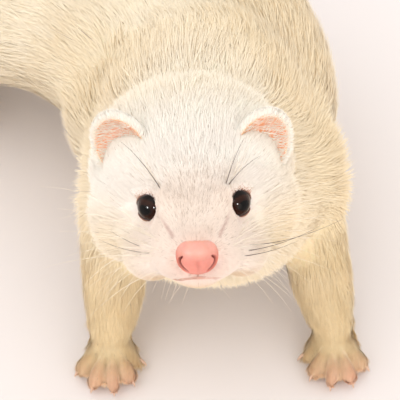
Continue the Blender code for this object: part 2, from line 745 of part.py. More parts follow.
def finished(nodes):
    """Gives every node its name, its finish and clean faces."""
    coat = add_material("cream_fur", CREAM, 0.9)
    face = add_material("white_fur", WHITE, 0.9)
    pad = add_material("pink_nose_skin", PINK, 0.45)
    ear = add_material("ear_skin", EAR_PINK, 0.7)
    foot = add_material("paw_fur", PAW_CREAM, 0.85)
    wet = add_material("dark_eye", EYE_DARK, 0.08)
    kinds = (("eye_", wet), ("ear_", ear), ("front_paw", foot), ("hind_foot", foot), ("head", face), ("nose", pad))
    for name, node in nodes.items():
        finish = next((value for key, value in kinds if name.startswith(key)), coat)
        node.name = name
        node.data.materials.clear()
        node.data.materials.append(finish)
        bm = bmesh.new()
        bm.from_mesh(node.data)
        bmesh.ops.remove_doubles(bm, verts=bm.verts, dist=1e-6)
        bmesh.ops.dissolve_degenerate(bm, dist=1e-6, edges=bm.edges)
        bmesh.ops.triangulate(bm, faces=[f for f in bm.faces if len(f.verts) > 3])
        for f in bm.faces:
            f.material_index = 0
        bm.to_mesh(node.data)
        bm.free()


def main():
    """Builds every node of the ferret."""
    clear_scene()
    head = head_flesh()
    trunk = trunk_flesh()
    legs = leg_flesh()
    limbs = [piece for pieces in legs.values() for piece in pieces]
    skin = melted("skin", head + trunk + limbs, 1.3, 8)
    remove(*head, *trunk)
    nodes = {}
    build_head(skin, nodes)
    build_body(skin, nodes)
    remove(skin)
    build_paws(legs, nodes)
    kept = set(nodes.values())
    for other in list(bpy.context.scene.objects):
        if other not in kept:
            remove(other)
    centre_on_floor(list(nodes.values()))
    finished(nodes)


main()
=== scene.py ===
"""Looks of a life-size cream-white ferret: skin, coat, eyes, ears, nose, lips, claws and whiskers.

Sizes in the classes are in millimetres and are turned into metres where a mesh is made. The solids' own design
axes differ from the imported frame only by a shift, which Stance works out from the place of the eyes.
"""

from __future__ import annotations

import logging
import math
from dataclasses import dataclass, field
from enum import Enum
from typing import Any, Sequence

import bmesh
import bpy
import numpy as np
from mathutils import Matrix, Vector
from mathutils.bvhtree import BVHTree

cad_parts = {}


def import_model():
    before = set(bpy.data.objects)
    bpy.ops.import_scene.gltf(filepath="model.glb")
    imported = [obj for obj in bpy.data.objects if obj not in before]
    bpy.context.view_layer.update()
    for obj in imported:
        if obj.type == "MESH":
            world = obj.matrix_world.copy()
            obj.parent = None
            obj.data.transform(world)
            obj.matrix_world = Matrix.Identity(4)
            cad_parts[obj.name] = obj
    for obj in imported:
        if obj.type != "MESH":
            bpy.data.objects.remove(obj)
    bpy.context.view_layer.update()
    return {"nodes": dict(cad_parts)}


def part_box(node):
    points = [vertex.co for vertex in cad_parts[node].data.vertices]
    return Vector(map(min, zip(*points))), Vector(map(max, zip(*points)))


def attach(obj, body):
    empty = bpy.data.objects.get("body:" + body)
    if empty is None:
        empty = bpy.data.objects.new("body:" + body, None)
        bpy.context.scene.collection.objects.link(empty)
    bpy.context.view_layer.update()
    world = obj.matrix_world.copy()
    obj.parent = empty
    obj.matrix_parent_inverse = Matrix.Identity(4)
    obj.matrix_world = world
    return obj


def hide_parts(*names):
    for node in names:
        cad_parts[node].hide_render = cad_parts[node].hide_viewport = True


LOG = logging.getLogger("ferret")
MM = 0.001
BODY = "root"
# where along a tuft its slope changes, and the share of its lift from there on
BENDS = ((0.0, 1.0), (0.34, 0.62), (0.7, 0.35))
FLESH = (
    "head neck chest belly rump tail_base tail_tip upper_arm_left upper_arm_right forearm_left forearm_right "
    "front_paw_left front_paw_right thigh_left thigh_right shank_left shank_right hind_foot_left hind_foot_right"
).split()


class Side(Enum):
    """The animal's own sides; the value is the sign of X."""

    RIGHT = -1
    LEFT = 1

    @property
    def word(self) -> str:
        """The side's name in lower case."""
        return self.name.lower()


class Slot(Enum):
    """The record's material slots."""

    COAT = "cream_fur"
    FACE = "white_fur"
    PAW = "paw_fur"
    EAR = "ear_skin"
    NOSE = "pink_nose_skin"
    EYE = "dark_eye"


# ---------------------------------------------------------------- small tools


def linear(code: str) -> tuple[float, float, float]:
    """Turns an sRGB hex colour to linear.

    Args:
        code: The colour as "#RRGGBB".

    Returns:
        Red, green and blue in linear light.
    """
    parts = (int(code[i : i + 2], 16) / 255 for i in (1, 3, 5))
    return tuple(c / 12.92 if c <= 0.04045 else ((c + 0.055) / 1.055) ** 2.4 for c in parts)


def add_node(tree: bpy.types.NodeTree, kind: str, settings: dict[Any, Any], links: dict[Any, Any]) -> bpy.types.Node:
    """Adds one shader node with its settings and links.

    Args:
        tree: The node tree.
        kind: The node's Blender type.
        settings: Properties by lower-case name, and input values by number or capitalised name.
        links: Output sockets by the number or name of the input that they feed.

    Returns:
        The new node.
    """
    node = tree.nodes.new(kind)
    for key, value in settings.items():
        if isinstance(key, str) and key[0].islower():
            setattr(node, key, value)
        else:
            node.inputs[key].default_value = value
    for key, source in links.items():
        tree.links.new(source, node.inputs[key])
    return node


def smooth_rows(rows: Sequence[Sequence[float]], per_span: int) -> np.ndarray:
    """Puts rows on a smooth curve through the given ones.

    Args:
        rows: Stations whose first three numbers are a place.
        per_span: Rows made between two stations.

    Returns:
        The finer rows.
    """
    table = np.asarray(rows, float)
    at = np.concatenate([[0.0], np.cumsum(np.linalg.norm(np.diff(table[:, :3], axis=0), axis=1))])
    slope = np.gradient(table, at, axis=0)
    t = np.concatenate([np.linspace(a, b, per_span, endpoint=False) for a, b in zip(at, at[1:])] + [at[-1:]])
    i = np.clip(np.searchsorted(at, t, side="right") - 1, 0, len(at) - 2)
    span = (at[i + 1] - at[i])[:, None]
    u = ((t - at[i]) / span[:, 0])[:, None]
    start = (1 + 2 * u) * (1 - u) ** 2 * table[i] + u * (1 - u) ** 2 * span * slope[i]
    return start + u**2 * (3 - 2 * u) * table[i + 1] + u**2 * (u - 1) * span * slope[i + 1]


def unit(vectors: np.ndarray) -> np.ndarray:
    """Vectors brought to length one."""
    return vectors / np.maximum(np.linalg.norm(vectors, axis=-1, keepdims=True), 1e-9)


def ease(values: np.ndarray, low: float, high: float) -> np.ndarray:
    """A smooth step from 0 at low to 1 at high."""
    t = np.clip((np.asarray(values, float) - low) / (high - low), 0, 1)
    return t * t * (3 - 2 * t)


def ripple(places: np.ndarray, wavelength: float, seed: int) -> np.ndarray:
    """Gentle noise from a few crossed waves.

    Args:
        places: Points in millimetres.
        wavelength: The typical distance between crests, in millimetres.
        seed: Picks the waves.

    Returns:
        A value of about -1 to 1 a point.
    """
    rng = np.random.default_rng(seed)
    total = np.zeros(len(places))
    for _ in range(6):
        way = unit(rng.normal(size=3))
        total += np.sin(places @ way * (2 * math.pi / (wavelength * rng.uniform(0.7, 1.4))) + rng.uniform(0, 6.28))
    return total / 3.0


def stand(lift: np.ndarray) -> np.ndarray:
    """How high a tuft's tip stands over its root, as a share of its length, for a lift in degrees."""
    ends = [start for start, _ in BENDS[1:]] + [1.0]
    return sum((end - start) * np.sin(np.radians(lift * share)) for (start, share), end in zip(BENDS, ends))


def mixed(colours: np.ndarray, code: str, share: np.ndarray) -> np.ndarray:
    """Colours blended towards one by a share a point."""
    return colours + (np.array(linear(code)) - colours) * np.asarray(share)[:, None]


def facing(direction: Vector, rise: Vector) -> Matrix:
    """A rotation whose second axis is the direction and whose third is close to the rise."""
    forward = direction.normalized()
    side = forward.cross(rise).normalized()
    return Matrix((side, forward, side.cross(forward))).transposed()


def new_object(name: str, mesh: bpy.types.Mesh) -> bpy.types.Object:
    """Links a mesh into the scene as an object."""
    made = bpy.data.objects.new(name, mesh)
    bpy.context.scene.collection.objects.link(made)
    return made


def remove(*objects: bpy.types.Object) -> None:
    """Deletes helper objects."""
    for old in objects:
        bpy.data.objects.remove(old)


def mesh_of(name: str, points: np.ndarray, corners: np.ndarray) -> bpy.types.Mesh:
    """Makes a smooth mesh of triangles or of quads.

    Args:
        name: The mesh's name.
        points: Places in metres.
        corners: The point numbers of each face, a row a face.

    Returns:
        The mesh.
    """
    mesh = bpy.data.meshes.new(name)
    mesh.vertices.add(len(points))
    mesh.vertices.foreach_set("co", points.astype(np.float32).ravel())
    mesh.loops.add(corners.size)
    mesh.loops.foreach_set("vertex_index", corners.astype(np.int32).ravel())
    mesh.polygons.add(len(corners))
    mesh.polygons.foreach_set("loop_start", np.arange(0, corners.size, corners.shape[1], dtype=np.int32))
    mesh.update(calc_edges=True)
    mesh.shade_smooth()
    return mesh


def paint(mesh: bpy.types.Mesh, colours: np.ndarray) -> None:
    """Keeps a linear colour a point in the attribute named coat."""
    layer = mesh.color_attributes.new("coat", "FLOAT_COLOR", "POINT")
    rgba = np.concatenate([np.clip(colours, 0, 1), np.ones((len(colours), 1))], axis=1)
    layer.data.foreach_set("color", rgba.astype(np.float32).ravel())


def places_of(mesh: bpy.types.Mesh) -> np.ndarray:
    """The mesh's points in metres."""
    flat = np.empty(len(mesh.vertices) * 3, np.float32)
    mesh.vertices.foreach_get("co", flat)
    return flat.reshape(-1, 3).astype(float)


def normals_of(mesh: bpy.types.Mesh) -> np.ndarray:
    """The directions that the mesh's points face."""
    flat = np.empty(len(mesh.vertices) * 3, np.float32)
    mesh.vertex_normals.foreach_get("vector", flat)
    return flat.reshape(-1, 3).astype(float)


def settle(made: bpy.types.Object) -> bpy.types.Object:
    """Applies an object's modifiers to its mesh."""
    bpy.context.view_layer.update()
    mesh = bpy.data.meshes.new_from_object(made.evaluated_get(bpy.context.evaluated_depsgraph_get()))
    made.modifiers.clear()
    made.data = mesh
    return made


def melted(made: bpy.types.Object, voxel: float, rounds: int) -> bpy.types.Object:
    """Melts overlapping shapes into one smooth skin and keeps its largest surface.

    Args:
        made: The object that holds the shapes.
        voxel: The size of the remesh, in millimetres.
        rounds: Rounds of smoothing.

    Returns:
        The same object.
    """
    melt = made.modifiers.new("melt", "REMESH")
    melt.mode = "VOXEL"
    melt.voxel_size = voxel * MM
    soften = made.modifiers.new("soften", "SMOOTH")
    soften.factor = 0.5
    soften.iterations = rounds
    settle(made)
    bm = bmesh.new()
    bm.from_mesh(made.data)
    left, best = set(bm.verts), set()
    while left:
        start = left.pop()
        island, edge = {start}, [start]
        while edge:
            for link in edge.pop().link_edges:
                for other in link.verts:
                    if other in left:
                        left.discard(other)
                        island.add(other)
                        edge.append(other)
        best = island if len(island) > len(best) else best
    bmesh.ops.delete(bm, geom=[v for v in bm.verts if v not in best], context="VERTS")
    bm.to_mesh(made.data)
    bm.free()
    made.data.shade_smooth()
    return made


def ball(name: str, centre: Vector, radii: Sequence[float], turn: Matrix, segments: int, rings: int) -> bpy.types.Object:
    """A stretched ball; the centre is in metres and the radii are in millimetres."""
    bm = bmesh.new()
    bmesh.ops.create_uvsphere(bm, u_segments=segments, v_segments=rings, radius=MM)
    scale = Matrix.Diagonal((*radii, 1.0))
    bmesh.ops.transform(bm, matrix=Matrix.Translation(centre) @ turn.to_4x4() @ scale, verts=bm.verts)
    mesh = bpy.data.meshes.new(name)
    bm.to_mesh(mesh)
    bm.free()
    mesh.shade_smooth()
    return new_object(name, mesh)


def joined(name: str, pieces: Sequence[bpy.types.Object]) -> bpy.types.Object:
    """One object in place of several closed shapes."""
    bm = bmesh.new()
    for piece in pieces:
        bm.from_mesh(piece.data)
    mesh = bpy.data.meshes.new(name)
    bm.to_mesh(mesh)
    bm.free()
    remove(*pieces)
    return new_object(name, mesh)


def carved(made: bpy.types.Object, tool: bpy.types.Object) -> bpy.types.Object:
    """Cuts a closed tool out of an object and deletes the tool."""
    cut = made.modifiers.new("cut", "BOOLEAN")
    cut.operation = "DIFFERENCE"
    cut.solver = "EXACT"
    cut.use_self = True
    cut.object = tool
    settle(made)
    remove(tool)
    return made


def tube_rows(rows: Sequence[Sequence[float]], sides: int, per_span: int) -> tuple[np.ndarray, np.ndarray]:
    """Points and faces of a round tube with pointed ends.

    Args:
        rows: Stations of x, y, z and radius, in metres.
        sides: Points round the tube.
        per_span: Rings between two stations.

    Returns:
        The points, and the faces as rows of four point numbers.
    """
    table = smooth_rows(rows, per_span)
    tangents = unit(np.gradient(table[:, :3], axis=0))
    hint = np.array((0.31, 0.17, 0.93))
    across = unit(np.cross(tangents, hint))
    upward = np.cross(across, tangents)
    turn = np.linspace(0, 2 * math.pi, sides, endpoint=False)
    ring = across[:, None] * np.cos(turn)[None, :, None] + upward[:, None] * np.sin(turn)[None, :, None]
    points = (table[:, None, :3] + ring * table[:, None, 3:4]).reshape(-1, 3)
    count = len(table)
    r, s = np.meshgrid(np.arange(count - 1), np.arange(sides), indexing="ij")
    n = (s + 1) % sides
    faces = np.stack([r * sides + s, (r + 1) * sides + s, (r + 1) * sides + n, r * sides + n], axis=-1)
    return points, faces.reshape(-1, 4)


def tubes(name: str, shapes: Sequence[Sequence[Sequence[float]]], sides: int, per_span: int) -> bpy.types.Object:
    """One object of many tubes, each given by its stations in metres."""
    points, faces, count = [], [], 0
    for rows in shapes:
        spots, corners = tube_rows(rows, sides, per_span)
        points.append(spots)
        faces.append(corners + count)
        count += len(spots)
    return new_object(name, mesh_of(name, np.concatenate(points), np.concatenate(faces)))


def dress(made: bpy.types.Object, material: bpy.types.Material, replaced: Sequence[str] = ()) -> None:
    """Gives a piece its finish and body, and hides the solids that it stands for."""
    made.data.materials.clear()
    made.data.materials.append(material)
    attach(made, BODY)
    if replaced:
        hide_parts(*replaced)
    LOG.info("%s: %d faces", made.name, len(made.data.polygons))


# ---------------------------------------------------------------- finishes


@dataclass(frozen=True)
class Finish:
    """What every finish shares: a new Principled material.

    Attributes:
        name: The material's name.
        roughness: The surface's roughness.
        ior: Its index of refraction.
    """

    name: str
    roughness: float
    ior: float

    def start(self, sockets: dict[str, Any]) -> tuple[bpy.types.NodeTree, bpy.types.Node]:
        """A new material's tree and shader.

        Args:
            sockets: More constants of the shader.

        Returns:
            The node tree and its Principled node.
        """
        material = bpy.data.materials.new(self.name)
        material.use_nodes = True
        shader = material.node_tree.nodes["Principled BSDF"]
        for key, value in {"Roughness": self.roughness, "IOR": self.ior, "Metallic": 0.0, **sockets}.items():
            shader.inputs[key].default_value = value
        return material.node_tree, shader

    def material(self) -> bpy.types.Material:
        """The finished material, by name."""
        return bpy.data.materials[self.name]


@dataclass(frozen=True)
class KeratinHair(Finish):
    """Fine white guard hair and underfur: keratin, unpigmented, soft and dry.

    It scatters light like a pale cloth, with a weak sheen along the fibre and hardly any gloss. Single hairs are
    0.05 mm thick; the mottle is drawn at 0.9 mm, the width of a lock, because finer doesn't show.
    """

    mottle: float = 0.9
    sheen: float = 0.4

    def build(self) -> bpy.types.Material:
        """Makes the material."""
        tree, shader = self.start(
            {"Sheen Weight": self.sheen, "Sheen Roughness": 0.5, "Specular IOR Level": 0.25}
        )
        coat = add_node(tree, "ShaderNodeAttribute", {"attribute_name": "coat"}, {})
        place = add_node(tree, "ShaderNodeTexCoord", {}, {})
        cloud = add_node(
            tree, "ShaderNodeTexNoise", {"Scale": 1 / (self.mottle * MM), "Detail": 2.0}, {"Vector": place.outputs["Object"]}
        )
        shade = add_node(
            tree,
            "ShaderNodeMapRange",
            {"From Min": 0.3, "From Max": 0.7, "To Min": 0.97, "To Max": 1.02},
            {"Value": cloud.outputs["Fac"]},
        )
        tone = add_node(
            tree, "ShaderNodeVectorMath", {"operation": "SCALE"}, {0: coat.outputs["Color"], "Scale": shade.outputs[0]}
        )
        tree.links.new(tone.outputs[0], shader.inputs["Base Color"])
        return self.material()


@dataclass(frozen=True)
class FurredSkin(Finish):
    """Thin pink-white skin under a close undercoat.

    What shows between the tufts is dense woolly underfur of the coat's own colour, so it is matte and soft, with a
    bump of short fibres laid 0.5 mm apart.
    """

    fibre: float = 0.5

    def build(self) -> bpy.types.Material:
        """Makes the material."""
        tree, shader = self.start(
            {"Sheen Weight": 0.2, "Sheen Roughness": 0.6, "Subsurface Weight": 0.1, "Subsurface Scale": 0.002}
        )
        coat = add_node(tree, "ShaderNodeAttribute", {"attribute_name": "coat"}, {})
        place = add_node(tree, "ShaderNodeTexCoord", {}, {})
        fibres = add_node(
            tree,
            "ShaderNodeTexNoise",
            {"Scale": 1 / (self.fibre * MM), "Detail": 3.0, "Roughness": 0.6},
            {"Vector": place.outputs["Object"]},
        )
        shade = add_node(
            tree,
            "ShaderNodeMapRange",
            {"From Min": 0.3, "From Max": 0.7, "To Min": 0.96, "To Max": 1.02},
            {"Value": fibres.outputs["Fac"]},
        )
        tone = add_node(
            tree, "ShaderNodeVectorMath", {"operation": "SCALE"}, {0: coat.outputs["Color"], "Scale": shade.outputs[0]}
        )
        bump = add_node(
            tree, "ShaderNodeBump", {"Strength": 0.5, "Distance": 0.3 * MM}, {"Height": fibres.outputs["Fac"]}
        )
        tree.links.new(tone.outputs[0], shader.inputs["Base Color"])
        tree.links.new(bump.outputs[0], shader.inputs["Normal"])
        return self.material()


@dataclass(frozen=True)
class BareSkin(Finish):
    """Hairless skin of the nose pad, lips, lids, toes and the ear's cup.

    Living skin is soft and lets red light through; the nose pad and lids are moist, and their surface is a fine
    pebble of cells, 0.45 mm across on the pad.
    """

    cell: float = 0.45
    relief: float = 0.08
    moist: float = 0.3
    depth: float = 0.35

    def build(self) -> bpy.types.Material:
        """Makes the material."""
        tree, shader = self.start(
            {
                "Subsurface Weight": self.depth,
                "Subsurface Scale": 0.0015,
                "Subsurface Radius": (1.0, 0.35, 0.2),
                "Coat Weight": self.moist,
                "Coat Roughness": 0.22,
            }
        )
        coat = add_node(tree, "ShaderNodeAttribute", {"attribute_name": "coat"}, {})
        place = add_node(tree, "ShaderNodeTexCoord", {}, {})
        cells = add_node(
            tree,
            "ShaderNodeTexVoronoi",
            {"feature": "DISTANCE_TO_EDGE", "Scale": 1 / (self.cell * MM)},
            {"Vector": place.outputs["Object"]},
        )
        cloud = add_node(
            tree, "ShaderNodeTexNoise", {"Scale": 1 / (2.5 * MM), "Detail": 3.0}, {"Vector": place.outputs["Object"]}
        )
        shade = add_node(
            tree,
            "ShaderNodeMapRange",
            {"From Min": 0.3, "From Max": 0.7, "To Min": 0.92, "To Max": 1.06},
            {"Value": cloud.outputs["Fac"]},
        )
        tone = add_node(
            tree, "ShaderNodeVectorMath", {"operation": "SCALE"}, {0: coat.outputs["Color"], "Scale": shade.outputs[0]}
        )
        dome = add_node(
            tree, "ShaderNodeMapRange", {"From Min": 0.0, "From Max": 0.25, "To Min": 0.0, "To Max": 1.0},
            {"Value": cells.outputs["Distance"]},
        )
        bump = add_node(
            tree, "ShaderNodeBump", {"Strength": 0.6, "Distance": self.relief * MM}, {"Height": dome.outputs[0]}
        )
        tree.links.new(tone.outputs[0], shader.inputs["Base Color"])
        tree.links.new(bump.outputs[0], shader.inputs["Normal"])
        return self.material()


@dataclass(frozen=True)
class WetEye(Finish):
    """A living eye: brown-black iris round a lying oval pupil under a clear wet cornea.

    The tear film gives a hard, small highlight; the iris is so dark that its fibres hardly show.
    """

    pupil: tuple[float, float] = (1.75, 1.25)

    def build(self) -> bpy.types.Material:
        """Makes the material."""
        tree, shader = self.start({"Coat Weight": 0.6, "Coat Roughness": 0.02, "Coat IOR": 1.33, "Specular IOR Level": 0.03})
        place = add_node(tree, "ShaderNodeAttribute", {"attribute_name": "eye_place"}, {})
        spread = add_node(
            tree,
            "ShaderNodeMapping",
            {"vector_type": "POINT", "Scale": (1 / self.pupil[0], 1 / self.pupil[1], 0.0)},
            {"Vector": place.outputs["Vector"]},
        )
        out = add_node(tree, "ShaderNodeVectorMath", {"operation": "LENGTH"}, {0: spread.outputs[0]})
        fibres = add_node(
            tree, "ShaderNodeTexNoise", {"Scale": 1 / 0.35, "Detail": 4.0}, {"Vector": place.outputs["Vector"]}
        )
        reach = add_node(
            tree,
            "ShaderNodeMath",
            {"operation": "MULTIPLY_ADD", 1: 0.35},
            {0: fibres.outputs["Fac"], 2: out.outputs["Value"]},
        )
        ramp = add_node(tree, "ShaderNodeValToRGB", {}, {})
        scaled = add_node(tree, "ShaderNodeMath", {"operation": "MULTIPLY", 1: 0.3}, {0: reach.outputs[0]})
        tree.links.new(scaled.outputs[0], ramp.inputs[0])
        stops = ((0.0, "#030101"), (0.33, "#060302"), (0.37, "#26120B"), (0.62, "#33190F"), (0.74, "#140906"))
        while len(ramp.color_ramp.elements) < len(stops):
            ramp.color_ramp.elements.new(0.5)
        for element, (at, code) in zip(ramp.color_ramp.elements, stops):
            element.position = at
            element.color = (*linear(code), 1.0)
        tree.links.new(ramp.outputs[0], shader.inputs["Base Color"])
        return self.material()


@dataclass(frozen=True)
class Horn(Finish):
    """Claw horn and whisker shafts: clear keratin, worn smooth, slightly see-through."""

    code: str = "#E8CDB6"
    streak: str = "#C99C84"

    def build(self) -> bpy.types.Material:
        """Makes the material."""
        tree, shader = self.start({"Coat Weight": 0.2, "Coat Roughness": 0.3})
        place = add_node(tree, "ShaderNodeTexCoord", {}, {})
        grain = add_node(
            tree, "ShaderNodeTexNoise", {"Scale": 1 / (0.6 * MM), "Detail": 2.0}, {"Vector": place.outputs["Object"]}
        )
        tone = add_node(
            tree,
            "ShaderNodeMix",
            {"data_type": "RGBA", 6: (*linear(self.code), 1.0), 7: (*linear(self.streak), 1.0)},
            {0: grain.outputs["Fac"]},
        )
        tree.links.new(tone.outputs[2], shader.inputs["Base Color"])
        return self.material()


@dataclass(frozen=True)
class PaleFloor(Finish):
    """A plain matte studio sheet."""

    code: str = "#F3EDED"

    def build(self) -> bpy.types.Material:
        """Makes the material."""
        tree, shader = self.start({"Specular IOR Level": 0.1})
        shader.inputs["Base Color"].default_value = (*linear(self.code), 1.0)
        return self.material()


# ---------------------------------------------------------------- stance


@dataclass(frozen=True)
class HeadAxes:
    """The head's own axes: side, back from the eyes, and up.

    Attributes:
        origin: The midpoint between the eye openings, in metres.
        turn: The rotation from the head's axes to the frame's.
    """

    origin: Vector
    turn: Matrix

    def point(self, side: float, back: float, up: float) -> Vector:
        """A point given in the head's axes, in metres."""
        return self.origin + self.turn @ Vector((side, back, up)) * MM

    def way(self, side: float, back: float, up: float) -> Vector:
        """A direction given in the head's axes."""
        return (self.turn @ Vector((side, back, up))).normalized()

    def local(self, points: np.ndarray) -> np.ndarray:
        """Points in metres brought into the head's axes, in millimetres."""
        return (points - np.array(self.origin)) @ np.array(self.turn) / MM


@dataclass(frozen=True)
class Stance:
    """How the head is held and where the design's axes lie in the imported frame."""

    eye_middle: tuple[float, float, float] = (0.0, 0.0, 92.0)
    pitch: float = 18.0
    roll: float = 1.4
    yaw: float = 2.0
    gaze_out: float = 36.0
    gaze_up: float = 12.0
    eye_radius: float = 4.5
    eye_spacing: float = 26.4

    def gaze(self, side: Side) -> Vector:
        """The way an eye looks, in the head's axes."""
        out, up = math.radians(self.gaze_out), math.radians(self.gaze_up)
        return Vector((side.value * math.sin(out) * math.cos(up), -math.cos(out) * math.cos(up), math.sin(up)))

    def eye_centre(self, side: Side) -> Vector:
        """The middle of an eye's ball, in the head's axes and millimetres."""
        return Vector((side.value * self.eye_spacing / 2, 0, 0)) - self.gaze(side) * self.eye_radius

    def head(self) -> HeadAxes:
        """The head's axes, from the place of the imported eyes."""
        yaw = Matrix.Rotation(math.radians(self.yaw), 3, "Z")
        pitch = Matrix.Rotation(math.radians(-self.pitch), 3, "X")
        turn = yaw @ pitch @ Matrix.Rotation(math.radians(-self.roll), 3, "Y")
        balls = [(lo + hi) / 2 for lo, hi in (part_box("eye_left"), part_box("eye_right"))]
        middle = (self.eye_centre(Side.LEFT) + self.eye_centre(Side.RIGHT)) / 2
        return HeadAxes((balls[0] + balls[1]) / 2 - turn @ middle * MM, turn)

    def shift(self, head: HeadAxes) -> np.ndarray:
        """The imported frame's shift from the design's axes, in millimetres."""
        return np.array(head.origin) / MM - np.array(self.eye_middle)


# ---------------------------------------------------------------- the lie of the coat


@dataclass(frozen=True)
class CoatLength:
    """One length of the body and the coat along it.

    Attributes:
        name: The body part.
        stations: x, y, z and radius of its middle line, on the design's axes.
        coat: Fraction of the way, hair length, and lift in degrees.
        island: The box of its unwrap: left, bottom, right, top.
        hint: A direction that is never along the middle line.
    """

    name: str
    stations: tuple[tuple[float, ...], ...]
    coat: tuple[tuple[float, ...], ...]
    island: tuple[float, float, float, float]
    hint: tuple[float, float, float] = (0.0, 0.0, 1.0)


@dataclass(frozen=True)
class Paw:
    """Places of a paw's toes.

    Attributes:
        name: The paw's name.
        palm: The middle of the palm on the floor, on the design's axes.
        ahead: The way the toes point, on the floor.
        inward: The way to the body's middle.
        toes: Angle, reach and radius of each toe.
    """

    name: str
    palm: np.ndarray
    ahead: np.ndarray
    inward: np.ndarray
    toes: tuple[tuple[float, float, float], ...]

    def toe_ways(self) -> list[tuple[np.ndarray, np.ndarray, float]]:
        """The tip, direction and radius of each toe."""
        found = []
        for angle, reach, radius in self.toes:
            spread = math.radians(angle)
            way = self.ahead * math.cos(spread) + self.inward * math.sin(spread)
            found.append((self.palm + way * reach, way, radius))
        return found


